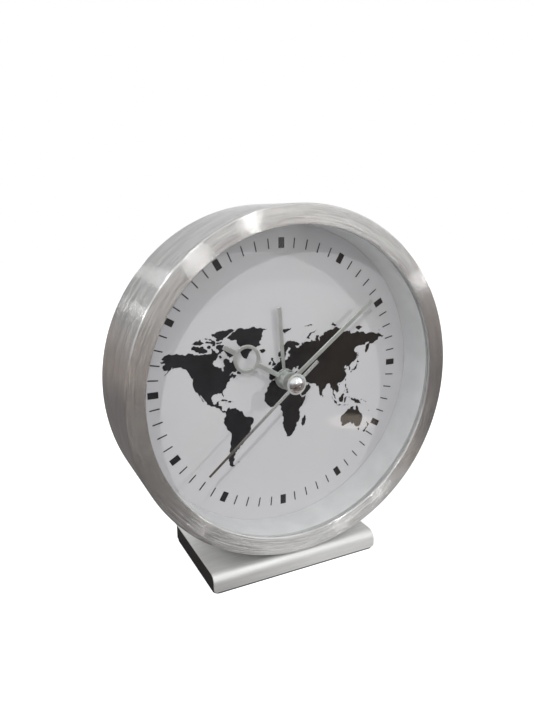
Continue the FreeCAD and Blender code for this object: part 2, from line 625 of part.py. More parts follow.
ISLANDS = (
    ((-84.5, 74), (-78, 73.5), (-71, 71.3), (-61.5, 66.6), (-64.5, 64.3), (-70, 62.4), (-72.5, 64.3),
     (-74.5, 66.5), (-79, 69.2), (-82, 68.4), (-86, 70), (-89, 71), (-89.5, 72.6), (-88, 73.5)),
    ((-94.9, 81.7), (-90.5, 81.4), (-85.4, 82.6), (-75.6, 82.8), (-70.5, 83.5), (-61, 82.8),
     (-66.9, 81), (-69.7, 80.4), (-74.1, 78.9), (-78.2, 77.9), (-78.8, 76.8), (-89, 76.6),
     (-87.8, 78.3), (-90, 79.1), (-94.4, 79.9)),
    ((-80.3, 75.9), (-88.5, 75.5), (-89, 74.7), (-85, 74.5), (-80.8, 75)),
    ((-99.8, 78.7), (-96.2, 78.6), (-93.1, 77.3), (-90.2, 76.2), (-90, 74.4), (-91.4, 73.2),
     (-94.9, 73.4), (-93.8, 74.6), (-96.4, 75.2), (-104.3, 76), (-104, 76.9), (-99.3, 76.7),
     (-95.4, 76.6), (-96, 77.6), (-99.5, 78)),
    ((-105.5, 79.2), (-103.2, 79.2), (-100.3, 78.5), (-102.6, 78.3)),
    ((-123.6, 76.2), (-119, 77.7), (-115.9, 78.1), (-114.5, 77.4), (-111.5, 79), (-109.7, 77.1),
     (-106.5, 75.7), (-113.2, 74.8), (-119.5, 75.5)),
    ((-123.8, 74.1), (-121.5, 75), (-114.5, 74.3), (-112.8, 73.2), (-107.6, 73.8), (-105.5, 72.1),
     (-101.6, 70.8), (-101.5, 69.4), (-105, 68.9), (-113, 68.8), (-118, 70.4), (-119.5, 71.2),
     (-124, 72.1)),
    ((-102.4, 72.6), (-101.5, 73.7), (-99.5, 74.2), (-97.2, 73.8), (-96.6, 72.6), (-98.3, 71.6),
     (-101, 71.8)),
    ((-85.7, 64.9), (-84, 65.7), (-80.9, 63.6), (-84.5, 63.2)),
    ((-59.3, 47.8), (-57.5, 50.5), (-55.6, 51.5), (-53, 48.5), (-53.3, 46.8), (-56.3, 47.2)),
    ((-128, 50.8), (-125, 50.2), (-123.5, 48.5), (-125.7, 48.9)),
    ((-84.8, 22), (-82, 23.1), (-77.5, 22.1), (-74.3, 20.2), (-77.6, 19.9), (-78.4, 21.2)),
    ((-74.3, 18.4), (-73, 19.9), (-68.5, 18.6), (-71.5, 17.8)),
    ((-78.3, 18.4), (-76.3, 18.2), (-77.5, 17.8)),
    ((-67.2, 18.5), (-65.6, 18.4), (-67, 17.9)),
    ((-61.2, -51.7), (-58, -51.4), (-59.3, -52.4), (-61, -52.3)),
    ((-24.3, 65.5), (-22.3, 66.4), (-16, 66.5), (-13.6, 65), (-18.7, 63.4), (-22.6, 63.9), (-22, 64.6)),
    ((10.8, 79.3), (15, 80), (27, 80.2), (21.5, 78.3), (17, 76.7), (13.5, 78)),
    ((52, 71.3), (55, 73.2), (58, 75.3), (68.5, 76.9), (60.5, 74.8), (56, 72), (57.5, 70.6)),
    ((48, 80.3), (58, 81.5), (62, 80.6), (55, 80)),
    ((94, 79.3), (97, 81), (104.5, 79), (100, 78)),
    ((137.5, 75.8), (150, 75.2), (142, 73.4)),
    ((179, 71.3), (182, 71.5), (182, 70.9)),
    ((-5.6, 50.1), (-3.2, 51.5), (-5, 52), (-3, 53.4), (-3.3, 54.8), (-5.8, 56), (-6, 57.8),
     (-4.5, 58.6), (-2, 57.6), (-3, 56.1), (-1.5, 55), (0.2, 53.2), (1.7, 52.6), (1.3, 51.2),
     (-1.2, 50.7)),
    ((-10.2, 51.9), (-9.8, 54.2), (-7.3, 55.3), (-5.6, 54.4), (-6.4, 52.2)),
    ((12.5, 38.1), (15.6, 38.2), (15.1, 36.7)),
    ((8.3, 40.9), (9.6, 41.2), (9.6, 39.2), (8.5, 39)),
    ((8.7, 42.6), (9.5, 42.9), (9.2, 41.5)),
    ((23.6, 35.5), (26.2, 35.3), (24.8, 34.9)),
    ((32.4, 35), (34.5, 35.6), (33, 34.6)),
    ((49.3, -12.1), (50.4, -15.6), (47.2, -24.8), (44.8, -25.4), (43.3, -22.3), (44.3, -17), (47, -15.2)),
    ((79.9, 9.7), (81.8, 7.4), (80.6, 6), (79.8, 7.6)),
    ((95.4, 5.6), (98, 4.4), (103.5, -1), (106, -3.1), (105.8, -5.8), (102.2, -4), (98.7, 1.6)),
    ((105.3, -6.6), (108.4, -6.7), (112.7, -6.9), (114.5, -8.6), (109, -7.8)),
    ((115.2, -8.2), (119, -8.4), (123, -8.3), (119, -9)),
    ((124, -9.8), (127, -8.4), (125, -9.4)),
    ((109, 1.5), (113, 3.2), (116.7, 7), (119.1, 5.2), (117.7, 1), (116, -4), (110.3, -2.9)),
    ((119.3, -5.5), (119, -3), (119.9, 0.8), (125.1, 1.6), (120.6, 0.4), (123.2, -0.9), (121.6, -1.9),
     (122.6, -4.8), (121, -2.9), (120.4, -5.6)),
    ((127.5, 0.7), (128, 2), (128.6, 0.5), (128, -0.8)),
    ((128, -3.3), (130.7, -3), (130, -3.6)),
    ((131, -0.9), (134, -0.8), (135, -3.3), (138, -1.7), (144.5, -3.9), (147.3, -6), (150.6, -10.5),
     (147, -9.5), (143, -9.1), (138.8, -8.3), (138, -5.5), (133, -4)),
    ((148.5, -5.7), (152.2, -4.2), (151, -6)),
    ((155, -6), (160.5, -8.6), (160, -9.6), (156, -7.7)),
    ((164.2, -20.2), (167, -22.2), (165, -21.6)),
    ((120.6, 18.5), (122.2, 18.4), (121.6, 15), (124, 13), (121, 13.7), (120, 16)),
    ((122, 7), (123.5, 8.6), (126, 9.5), (126.4, 6.7), (125.4, 5.7), (124, 7)),
    ((122, 11.8), (125.2, 12.4), (125, 10.2), (123, 9.4)),
    ((117.2, 8.4), (119.5, 11.3), (119.2, 10)),
    ((120.1, 23.2), (121.4, 25.3), (121.8, 24.4), (120.8, 22)),
    ((108.7, 19.3), (111, 20), (109.6, 18.2)),
    ((131, 34.1), (133, 35.5), (136, 35.7), (137.2, 37.4), (139.7, 38.8), (140.8, 41.4), (142, 39.4),
     (140.8, 35.8), (138.4, 34.6), (135.7, 33.5), (134.5, 34.7)),
    ((129.8, 33.2), (131.8, 33.6), (131.2, 31.3), (130.2, 31.3)),
    ((132.4, 33.6), (134.6, 34.1), (133.8, 33.4), (132.7, 32.9)),
    ((139.8, 42), (141.7, 45.4), (145.4, 43.3), (143.2, 42)),
    ((142.3, 54.3), (143.2, 52), (144.2, 49), (142.9, 49.2), (142.9, 46.3), (142, 47.5), (142, 51)),
    ((142.5, -10.8), (145.4, -15), (146.3, -18.8), (149.7, -22.3), (153, -25.3), (153.4, -29),
     (150, -37.2), (146.4, -39), (143.5, -38.7), (139.8, -37.2), (138.4, -35.3), (137.8, -32.8),
     (135.7, -34.8), (131.3, -31.5), (126, -32.3), (123.6, -33.8), (118.5, -34.9), (115.1, -34.3),
     (115.8, -31.8), (113.4, -26), (113.9, -22), (118, -20.4), (122, -18), (125.3, -14.5), (129.4, -15),
     (131, -12.2), (136.8, -12.2), (135.6, -14.8), (139.5, -17.5), (141, -16.5)),
    ((144.7, -40.8), (148.2, -40.9), (147.9, -43), (146, -43.5)),
    ((161.5, -34.5), (164.3, -36.9), (167, -37.7), (165.7, -39.6), (163.9, -41.5), (162.5, -39.3),
     (163.4, -37.8)),
    ((161.4, -40.6), (163, -41.7), (159.6, -44.4), (159.3, -46), (157.2, -46.6), (155.2, -45.9),
     (158.7, -43.4)),
)


def land(outline):
    """Printed patch of one stretch of land."""
    return plate([map_point(longitude, latitude) for longitude, latitude in outline], -print_thickness, 0)


def dial_map():
    """World map printed on the dial, cleared round the minute marks."""
    old_world = land(OLD_WORLD).cut(land(CASPIAN_SEA))
    patches = [land(AMERICAS), old_world, land(GREENLAND)] + [land(outline) for outline in ISLANDS]
    return Part.makeCompound(patches).cut(dial_markers()).cut(disc(dial_hole_radius, -overrun, overrun))


# Carrier, back cover and screws

def cover_screw_places():
    """Places of the pillars and screws of the back cover."""
    return [polar(pillar_ring_radius, angle) for angle in COVER_SCREW_ANGLES]


def ear_places():
    """Places of the movement's four fixing ears."""
    side = movement_half + ear_reach
    return [(x, z) for x in (-side, side) for z in (-ear_height, ear_height)]


def dial_carrier():
    """Moulded frame that clamps the dial and holds the movement, the back cover and the foot's screws."""
    rim = ring(inner_fit_radius, inner_fit_radius - carrier_rim_wall, carrier_back, cover_front)
    body = disc(inner_fit_radius, dial_thickness, carrier_back).fuse(rim)
    for place in cover_screw_places():
        body = body.fuse(disc(pillar_radius, carrier_back, cover_front, place))
    half_block = foot_block_width / 2
    block_top = foot_block_height - inner_fit_radius
    foot_block = block(-half_block, half_block, dial_thickness, cover_front, -inner_fit_radius, block_top)
    body = body.fuse(foot_block.common(disc(inner_fit_radius, dial_thickness, cover_front)))
    window = movement_half + free_gap
    body = body.cut(square(window, movement_corner, dial_thickness - overrun, carrier_back + overrun))
    hole_radius = screw_radius + fit_gap
    for place in cover_screw_places():
        body = body.cut(disc(hole_radius, cover_front - pillar_hole_depth, cover_front + overrun, place))
    ear_hole_end = carrier_back - ear_screw_grip - fit_gap
    for place in ear_places():
        body = body.cut(disc(hole_radius, ear_hole_end, carrier_back + overrun, place))
    top = -inner_fit_radius + foot_screw_grip
    for y in foot_screw_places():
        body = body.cut(upright_hole(foot_screw_radius + fit_gap, y, -case_radius, top))
    return body.removeSplitter()


def back_cover():
    """Round cover in the case's rear, with a window for the movement."""
    body = disc(inner_fit_radius, cover_front, cover_back)
    window = movement_half + free_gap
    body = body.cut(square(window, movement_corner, cover_front - overrun, cover_back + overrun))
    hole_radius = screw_radius + running_gap
    for place in cover_screw_places():
        body = body.cut(disc(hole_radius, cover_front - overrun, cover_back + overrun, place))
    return body


def slotted_screw(place, seat, grip, radius, head_radius, head_height):
    """Screw whose head rests on a seat and stands out backwards from it."""
    body = disc(radius, seat - grip, seat, place).fuse(disc(head_radius, seat, seat + head_height, place))
    top = seat + head_height
    slot = block(
        place[0] - head_radius - overrun, place[0] + head_radius + overrun,
        top - screw_slot_depth, top + overrun,
        place[1] - screw_slot_width / 2, place[1] + screw_slot_width / 2,
    )
    return body.cut(slot)


def back_cover_screws():
    """Screws through the back cover into the carrier's pillars."""
    grip = cover_thickness + screw_grip
    screws = []
    for place in cover_screw_places():
        screws.append(
            slotted_screw(place, cover_back, grip, screw_radius, screw_head_radius, screw_head_height)
        )
    return Part.makeCompound(screws)


def movement_screws():
    """Screws through the movement's ears into the carrier."""
    grip = ear_thickness + ear_screw_grip
    seat = carrier_back + ear_thickness
    screws = []
    for place in ear_places():
        screws.append(
            slotted_screw(place, seat, grip, screw_radius, screw_head_radius, screw_head_height)
        )
    return Part.makeCompound(screws)


# Movement case

def bearing_post(place, front, back, bore, bore_front, bore_back):
    """Post with a round bearing hole."""
    post = disc(bore + bearing_wall, front, back, place)
    return post.cut(disc(bore, bore_front, bore_back, place))


def bay_wall(front, back):
    """Wall above the battery bay, with gaps for the contacts."""
    low = bay_partition_top - bay_partition
    wall = block(-inner_half, inner_half, front, back, low, bay_partition_top)
    for notch in contact_notches():
        wall = wall.cut(notch)
    return wall


def movement_base():
    """Front half of the movement's case, with the bush through the dial, posts and fixing ears."""
    body = square(movement_half, movement_corner, movement_front, movement_joint)
    inner_corner = movement_corner - movement_wall
    body = body.cut(square(inner_half, inner_corner, inner_front, movement_joint + overrun))
    body = body.fuse(bay_wall(inner_front, movement_joint))
    body = body.cut(battery_space())
    ear_back = carrier_back + ear_thickness
    for x, z in ear_places():
        root = inner_half if x > 0 else -inner_half
        tab = block(min(root, x), max(root, x), carrier_back, ear_back, z - ear_radius, z + ear_radius)
        body = body.fuse(tab.fuse(disc(ear_radius, carrier_back, ear_back, (x, z))))
    for place in ear_places():
        body = body.cut(disc(screw_radius + fit_gap, carrier_back - overrun, movement_joint, place))
    body = body.fuse(disc(bush_radius, -bush_stand, movement_front))
    body = body.cut(disc(alarm_tube_radius + running_gap, -overrun, inner_front + overrun))
    plate_front = inner_front + middle_plate_level
    for place in plate_pillars:
        body = body.fuse(disc(plate_pillar_radius, inner_front, plate_front, place))
        body = body.fuse(disc(plate_pin_radius, plate_front, plate_front + middle_plate_thickness, place))
    third_post_back = inner_front + centre_level - thin_arbor_radius
    third_bore = thin_arbor_radius + running_gap
    body = body.fuse(disc(third_bore + third_post_wall, inner_front, third_post_back, third_axis))
    third_bore_end = third_post_back - 2 * pivot_reach
    body = body.cut(disc(third_bore, third_bore_end, third_post_back + overrun, third_axis))
    setting_bore = setting_shaft_radius + running_gap
    for place in (time_axis, alarm_axis):
        body = body.cut(disc(setting_bore, setting_pivot_end() - fit_gap, inner_front + overrun, place))
    return body.removeSplitter()


def setting_pivot_end():
    """Depth of the front end of the two setting shafts, inside the front wall."""
    return movement_front + movement_wall / 3


def battery_space():
    """Room for the battery, which sinks into the front wall."""
    radius = battery_radius + running_gap
    start = Vector(-inner_half, battery_y, battery_height)
    return Part.makeCylinder(radius, 2 * inner_half, start, RIGHTWARDS)


def contact_notches():
    """Gaps in the partition for the battery contacts, one at each side."""
    width = contact_sheet + 2 * fit_gap
    low = bay_partition_top - bay_partition - overrun
    high = bay_partition_top + overrun
    front = inner_front + board_level - overrun
    left = block(-inner_half - overrun, width - inner_half, front, inner_back, low, high)
    right = block(inner_half - width, inner_half + overrun, front, inner_back, low, high)
    return (left, right)


def movement_cover():
    """Rear half of the movement's case, with posts, battery opening, sound slots and hinge lugs."""
    body = square(movement_half, movement_corner, movement_joint, movement_back)
    inner_corner = movement_corner - movement_wall
    body = body.cut(square(inner_half, inner_corner, movement_joint - overrun, inner_back))
    body = body.fuse(bay_wall(movement_joint, inner_back))
    body = body.cut(block(
        -bay_opening_half_width, bay_opening_half_width,
        inner_back - overrun, movement_back + overrun,
        bay_opening_low, bay_opening_high,
    ))
    posts = (
        (CENTRE, second_level + thin_wheel + pivot_reach, second_arbor_radius),
        (intermediate_axis, intermediate_level + thin_wheel + pivot_reach, intermediate_arbor_radius),
        (rotor_axis, magnet_level + magnet_thickness + free_gap, thin_arbor_radius),
    )
    for place, level, arbor in posts:
        front = inner_front + level
        bore = arbor + running_gap
        bore_end = front + 2 * pivot_reach
        body = body.fuse(bearing_post(place, front, inner_back, bore, front - overrun, bore_end))
    stator_back = inner_front + stator_level + stator_thickness
    for place in stator_posts:
        body = body.fuse(disc(stator_post_radius, stator_back, inner_back, place))
    board_back = inner_front + board_level + board_thickness
    for place in board_posts:
        body = body.fuse(disc(board_post_radius, board_back, inner_back, place))
    shaft_hole = setting_shaft_radius + running_gap
    for place in (time_axis, alarm_axis):
        body = body.cut(disc(shaft_hole, inner_back - overrun, movement_back + overrun, place))
    slot_half = (switch_stem_length + switch_travel) / 2 + running_gap
    slot_half_height = switch_stem_height / 2 + running_gap
    body = body.cut(block(
        switch_x - slot_half, switch_x + slot_half,
        inner_back - overrun, movement_back + overrun,
        switch_z - slot_half_height, switch_z + slot_half_height,
    ))
    for slot in range(SOUND_SLOTS):
        z = buzzer_z + (slot - (SOUND_SLOTS - 1) / 2) * sound_slot_pitch
        body = body.cut(block(
            buzzer_x - sound_slot_length / 2, buzzer_x + sound_slot_length / 2,
            inner_back - overrun, movement_back + overrun,
            z - sound_slot_width / 2, z + sound_slot_width / 2,
        ))
    for side in (-1, 1):
        body = body.fuse(door_lug(side))
    return body.removeSplitter()


def door_lug(side):
    """Ear with the hole that a pin of the battery door turns in."""
    inner = door_hinge_half_width + free_gap
    radius = door_pin_radius + running_gap + door_lug_wall
    start = Vector(side * inner, door_axis_y, door_axis_height)
    direction = RIGHTWARDS * side
    lug = Part.makeCylinder(radius, door_lug_width, start, direction)
    edges = sorted((side * inner, side * (inner + door_lug_width)))
    low = door_axis_height - radius
    high = door_axis_height + radius
    lug = lug.fuse(block(edges[0], edges[1], movement_back, door_axis_y, low, high))
    hole_start = start - direction * overrun
    hole_length = door_lug_width + 2 * overrun
    hole = Part.makeCylinder(door_pin_radius + running_gap, hole_length, hole_start, direction)
    return lug.cut(hole)


def middle_plate():
    """Bearing plate of the train, staked on the base's pillars."""
    front = inner_front + middle_plate_level
    back = front + middle_plate_thickness
    low = bay_partition_top + free_gap
    body = block(-middle_plate_half_width, middle_plate_half_width, front, back, low, middle_plate_top)
    holes = [(place, plate_pin_radius + fit_gap) for place in plate_pillars]
    holes += [(place, setting_shaft_radius + setting_pass_gap) for place in (time_axis, alarm_axis)]
    holes += [
        (CENTRE, second_arbor_radius + running_gap),
        (third_axis, thin_arbor_radius + running_gap),
        (intermediate_axis, intermediate_arbor_radius + running_gap),
        (rotor_axis, thin_arbor_radius + running_gap),
    ]
    for place, radius in holes:
        body = body.cut(disc(radius, front - overrun, back + overrun, place))
    return body


# Wheels

def level(front, thickness=wheel_thickness):
    """Front and back of a wheel from its level."""
    return (inner_front + front, inner_front + front + thickness)


def tubed_wheel(teeth, module, front_level, tube, bore, reach, phase):
    """Toothed wheel on a tube that runs forwards to its hand."""
    front, back = level(front_level)
    wheel = gear(teeth, module, wheel_tooth_shares, front, back, CENTRE, phase)
    return wheel.fuse(disc(tube, -reach, back)).cut(disc(bore, -reach - overrun, back + overrun))


def alarm_wheel():
    """Alarm wheel, whose tube carries the alarm hand."""
    bore = hour_tube_radius + running_gap
    tube = alarm_tube_radius
    return tubed_wheel(ALARM_TEETH, alarm_module, alarm_level, tube, bore, alarm_hand_stand, 0)


def alarm_set_wheel():
    """Setting wheel of the alarm, on the shaft of its knob."""
    front, back = level(alarm_level)
    phase = mesh_phase(ALARM_TEETH, 0, CENTRE, ALARM_SET_TEETH, alarm_axis)
    wheel = gear(ALARM_SET_TEETH, alarm_module, pinion_tooth_shares, front, back, alarm_axis, phase)
    return wheel.fuse(disc(setting_shaft_radius, setting_pivot_end(), setting_shaft_end(), alarm_axis))


def setting_shaft_end():
    """Rear end of the two setting shafts, inside their knobs."""
    return movement_back + knob_gap + knob_thickness - knob_bore_end


def minute_wheel():
    """Minute wheel and pinion on the shaft of the time setting knob."""
    front, back = level(cannon_level)
    pinion_front, pinion_back = level(hour_level)
    phase = mesh_phase(CANNON_TEETH, 0, CENTRE, MINUTE_WHEEL_TEETH, time_axis)
    wheel = gear(MINUTE_WHEEL_TEETH, cannon_module, wheel_tooth_shares, front, back, time_axis, phase)
    pinion = gear(MINUTE_PINION_TEETH, hour_module, pinion_tooth_shares, pinion_front, front, time_axis)
    shaft = disc(setting_shaft_radius, setting_pivot_end(), setting_shaft_end(), time_axis)
    return wheel.fuse(pinion).fuse(shaft)


def hour_wheel():
    """Hour wheel, whose tube carries the hour hand."""
    phase = mesh_phase(MINUTE_PINION_TEETH, 0, time_axis, HOUR_TEETH, CENTRE)
    bore = minute_tube_radius + running_gap
    tube = hour_tube_radius
    return tubed_wheel(HOUR_TEETH, hour_module, hour_level, tube, bore, hour_hand_stand, phase)


def cannon_pinion():
    """Pinion on the tube that carries the minute hand."""
    front, back = level(cannon_level)
    tube_back = inner_front + centre_level + thin_wheel + running_gap
    pinion = gear(CANNON_TEETH, cannon_module, pinion_tooth_shares, front, back)
    tube = disc(minute_tube_radius, -minute_hand_stand, tube_back)
    bore = disc(second_arbor_radius + running_gap, -minute_hand_stand - overrun, tube_back + overrun)
    return pinion.fuse(tube).cut(bore)


def centre_wheel():
    """Wheel that drives the minute hand, pressed on the cannon pinion's tube."""
    front, back = level(centre_level, thin_wheel)
    wheel = gear(CENTRE_TEETH, third_module, wheel_tooth_shares, front, back)
    collar = disc(2 * minute_tube_radius, level(cannon_level)[1], front)
    bore = disc(minute_tube_radius + fit_gap, front - wheel_thickness, back + overrun)
    return wheel.fuse(collar).cut(bore)


def third_wheel():
    """Third wheel and pinion, between the centre wheel and the second wheel."""
    front, back = level(third_level, thin_wheel)
    pinion_front, pinion_back = level(centre_level, thin_wheel)
    phase = mesh_phase(CENTRE_TEETH, 0, CENTRE, THIRD_PINION_TEETH, third_axis)
    shares = pinion_tooth_shares
    wheel = gear(THIRD_TEETH, third_module, wheel_tooth_shares, front, back, third_axis)
    pinion = gear(THIRD_PINION_TEETH, third_module, shares, pinion_front, front, third_axis, phase)
    plate_back = inner_front + middle_plate_level + middle_plate_thickness
    arbor = disc(thin_arbor_radius, pinion_front - pivot_reach, plate_back, third_axis)
    return wheel.fuse(pinion).fuse(arbor)


def second_wheel():
    """Second wheel and pinion on the long arbor that carries the second hand."""
    front, back = level(second_level, thin_wheel)
    pinion_front, pinion_back = level(third_level, thin_wheel)
    phase = mesh_phase(THIRD_TEETH, 0, third_axis, SECOND_PINION_TEETH, CENTRE)
    shares = pinion_tooth_shares
    end = pinion_back + running_gap
    wheel = gear(SECOND_TEETH, second_module, wheel_tooth_shares, front, back)
    pinion = gear(SECOND_PINION_TEETH, third_module, shares, pinion_front, end, CENTRE, phase)
    arbor = disc(second_arbor_radius, -second_hand_stand, back + 2 * pivot_reach)
    return wheel.fuse(pinion).fuse(arbor)


def intermediate_wheel():
    """Intermediate wheel and pinion, between the second wheel and the rotor."""
    front, back = level(intermediate_level, thin_wheel)
    pinion_front, pinion_back = level(second_level, thin_wheel)
    phase = mesh_phase(SECOND_TEETH, 0, CENTRE, INTERMEDIATE_PINION_TEETH, intermediate_axis)
    shares = pinion_tooth_shares
    wheel = gear(INTERMEDIATE_TEETH, rotor_module, wheel_tooth_shares, front, back, intermediate_axis)
    pinion = gear(
        INTERMEDIATE_PINION_TEETH, second_module, shares, pinion_front, front, intermediate_axis, phase,
    )
    start = inner_front + middle_plate_level + fit_gap
    arbor = disc(intermediate_arbor_radius, start, back + 2 * pivot_reach, intermediate_axis)
    return wheel.fuse(pinion).fuse(arbor)


def rotor_pinion():
    """Pinion and arbor of the rotor."""
    front, back = level(intermediate_level, thin_wheel)
    phase = mesh_phase(INTERMEDIATE_TEETH, 0, intermediate_axis, ROTOR_PINION_TEETH, rotor_axis)
    pinion = gear(ROTOR_PINION_TEETH, rotor_module, pinion_tooth_shares, front, back, rotor_axis, phase)
    start = inner_front + middle_plate_level + fit_gap
    magnet_back = inner_front + magnet_level + magnet_thickness
    arbor = disc(thin_arbor_radius, start, magnet_back + free_gap + pivot_reach, rotor_axis)
    return pinion.fuse(arbor)


def rotor_magnet():
    """Round magnet of the stepping motor."""
    front, back = level(magnet_level, magnet_thickness)
    return ring(magnet_radius, thin_arbor_radius + fit_gap, front, back, rotor_axis)


# Motor and electronics

def stator():
    """Flat iron plate round the rotor, with a leg to each end of the coil."""
    front = inner_front + stator_level
    low = rotor_axis[1] - stator_bar_width / 2
    high = rotor_axis[1] + stator_bar_width / 2
    top = coil_height + coil_core_width / 2
    right_leg = stator_right - stator_leg_width
    left_leg = stator_leg_width - stator_left
    outline = (
        (-stator_left, low), (stator_right, low), (stator_right, top), (right_leg, top),
        (right_leg, high), (left_leg, high), (left_leg, top), (-stator_left, top),
    )
    back = front + stator_thickness
    rotor_hole = disc(stator_hole_radius, front - overrun, back + overrun, rotor_axis)
    return plate(outline, front, back).cut(rotor_hole)


def coil_core():
    """Iron bar through the coil, on the stator's legs."""
    back = inner_front + stator_level
    half = coil_core_width / 2
    front = back - coil_core_thickness
    return block(-stator_left, stator_right, front, back, coil_height - half, coil_height + half)


def coil_span():
    """Left and right ends of the bobbin, between the stator's legs."""
    return (stator_leg_width - stator_left + free_gap, stator_right - stator_leg_width - free_gap)


def coil_tube(radius, left, right):
    """Cylinder along x on the coil's axis."""
    y = inner_front + stator_level - coil_core_thickness / 2
    return Part.makeCylinder(radius, right - left, Vector(left, y, coil_height), RIGHTWARDS)


def coil_bobbin():
    """Plastic spool round the core."""
    left, right = coil_span()
    body = coil_tube(bobbin_tube_radius, left, right)
    body = body.fuse(coil_tube(bobbin_flange_radius, left, left + bobbin_flange_thickness))
    body = body.fuse(coil_tube(bobbin_flange_radius, right - bobbin_flange_thickness, right))
    back = inner_front + stator_level + fit_gap
    half = coil_core_width / 2 + fit_gap
    slot = block(
        left - overrun, right + overrun,
        back - coil_core_thickness - 2 * fit_gap, back,
        coil_height - half, coil_height + half,
    )
    return body.cut(slot)


def coil_winding():
    """Copper wire on the spool, as its outer shape."""
    left, right = coil_span()
    start = left + bobbin_flange_thickness
    end = right - bobbin_flange_thickness
    bore = coil_tube(bobbin_tube_radius + fit_gap, start - overrun, end + overrun)
    return coil_tube(winding_radius, start, end).cut(bore)


def board_front():
    """Front face of the circuit board."""
    return inner_front + board_level


def circuit_board():
    """Circuit board on two posts of the movement's cover."""
    front = board_front()
    return block(-board_left, -board_right, front, front + board_thickness, -board_low, board_high)


def chip_cap():
    """Round drop of resin over the chip."""
    front = board_front()
    radius = cap_sphere_radius(chip_radius, chip_height)
    drop = Part.makeSphere(radius, Vector(chip_x, front + radius - chip_height, chip_z))
    return drop.common(disc(chip_radius, front - chip_height, front, (chip_x, chip_z)))


def quartz_can():
    """Small upright can of the crystal, lying on the board."""
    start = Vector(quartz_x, board_front() - quartz_radius, quartz_z)
    return Part.makeCylinder(quartz_radius, quartz_length, start, UPWARDS)


def buzzer():
    """Round sounder on the rear wall."""
    place = (buzzer_x, buzzer_z)
    return disc(buzzer_radius, inner_back - buzzer_thickness, inner_back, place)


# Battery

def battery_along(radius, left, right):
    """Cylinder along x on the battery's axis."""
    return Part.makeCylinder(radius, right - left, Vector(left, battery_y, battery_height), RIGHTWARDS)


def battery():
    """Round cell with its button at the left."""
    half = battery_length / 2
    body = battery_along(battery_radius, battery_button_length - half, half)
    button_end = battery_button_length - half + battery_end_ring
    return body.fuse(battery_along(battery_button_radius, -half, button_end))


def battery_contact_plus():
    """Flat contact at the battery's button, with a tongue up to the board."""
    left = fit_gap - inner_half
    right = left + contact_sheet
    front = inner_front + contact_low
    low = battery_height - contact_half_height
    high = battery_height + contact_half_height
    face = block(left, right, front, inner_back - overrun, low, high)
    tongue = block(
        left, right,
        board_front(), board_front() + board_thickness,
        battery_height, contact_tongue_top,
    )
    bump = battery_along(battery_button_radius / 2, right, -battery_length / 2 - fit_gap)
    return face.fuse(tongue).fuse(bump)


def battery_contact_minus():
    """Sprung contact at the battery's flat end, with a strip along the partition to the board."""
    right = inner_half - fit_gap
    left = right - contact_sheet
    front = inner_front + contact_low
    low = battery_height - contact_half_height
    high = battery_height + contact_half_height
    face = block(left, right, front, inner_back - overrun, low, high)
    tip = battery_length / 2 + fit_gap
    middle = battery_height
    bow = (
        (left, low), (tip, middle - contact_sheet), (tip, middle + contact_sheet), (left, high),
        (left, high - contact_sheet), (tip + contact_sheet, middle), (left, low + contact_sheet),
    )
    spring_half = contact_half_height / 2
    spring = plate(bow, battery_y - spring_half, battery_y + spring_half)
    strip_front = board_front()
    strip_back = strip_front + board_thickness
    strip_low = bay_partition_top
    strip_high = strip_low + contact_sheet
    strip_left = -board_right - board_post_radius
    riser = block(left, right, strip_front, strip_back, middle, strip_high)
    strip = block(strip_left, right, strip_front, strip_back, strip_low, strip_high)
    tab = block(strip_left, fit_gap - board_right, strip_front, strip_back, strip_high, -board_low)
    return face.fuse(spring).fuse(riser).fuse(strip).fuse(tab)


def battery_door():
    """Door over the battery, on two pins at its lower edge, with a snap tongue and grip ribs."""
    front = movement_back + door_gap
    back = front + door_thickness
    half = door_hinge_half_width
    body = block(-door_half_width, door_half_width, front, back, door_wide_low, door_top)
    body = body.fuse(block(-half, half, front, back, door_axis_height, door_wide_low))
    barrel_start = Vector(-half, door_axis_y, door_axis_height)
    body = body.fuse(Part.makeCylinder(door_barrel_radius, 2 * half, barrel_start, RIGHTWARDS))
    pin_half = half + free_gap + door_lug_width
    pin_start = Vector(-pin_half, door_axis_y, door_axis_height)
    body = body.fuse(Part.makeCylinder(door_pin_radius, 2 * pin_half, pin_start, RIGHTWARDS))
    tongue_high = bay_opening_high - free_gap
    body = body.fuse(block(
        -door_tongue_half_width, door_tongue_half_width,
        movement_back - movement_wall, front,
        tongue_high - door_tongue_thickness, tongue_high,
    ))
    for rib in range(DOOR_RIBS):
        z = door_top - (rib + 1) * door_rib_pitch
        body = body.fuse(block(
            -door_rib_half_length, door_rib_half_length,
            back, back + door_rib_height,
            z - door_rib_width / 2, z + door_rib_width / 2,
        ))
    return body.removeSplitter()


# Knobs and switch

def setting_knob(place, radius):
    """Fluted knob with a dished face, on its shaft."""
    front = movement_back + knob_gap
    back = front + knob_thickness
    body = disc(radius, front, back, place)
    body = body.cut(disc(radius - knob_rim, back - knob_dish_depth, back + overrun, place))
    for flute in range(KNOB_FLUTES):
        groove = polar(radius, flute * FULL_TURN / KNOB_FLUTES, place)
        body = body.cut(disc(knob_flute_radius, front - overrun, back + overrun, groove))
    return body.cut(disc(setting_shaft_radius + fit_gap, front - overrun, setting_shaft_end(), place))


def time_set_knob():
    """Knob that sets the hands."""
    return setting_knob(time_axis, time_knob_radius)


def alarm_set_knob():
    """Knob that sets the alarm hand."""
    return setting_knob(alarm_axis, alarm_knob_radius)


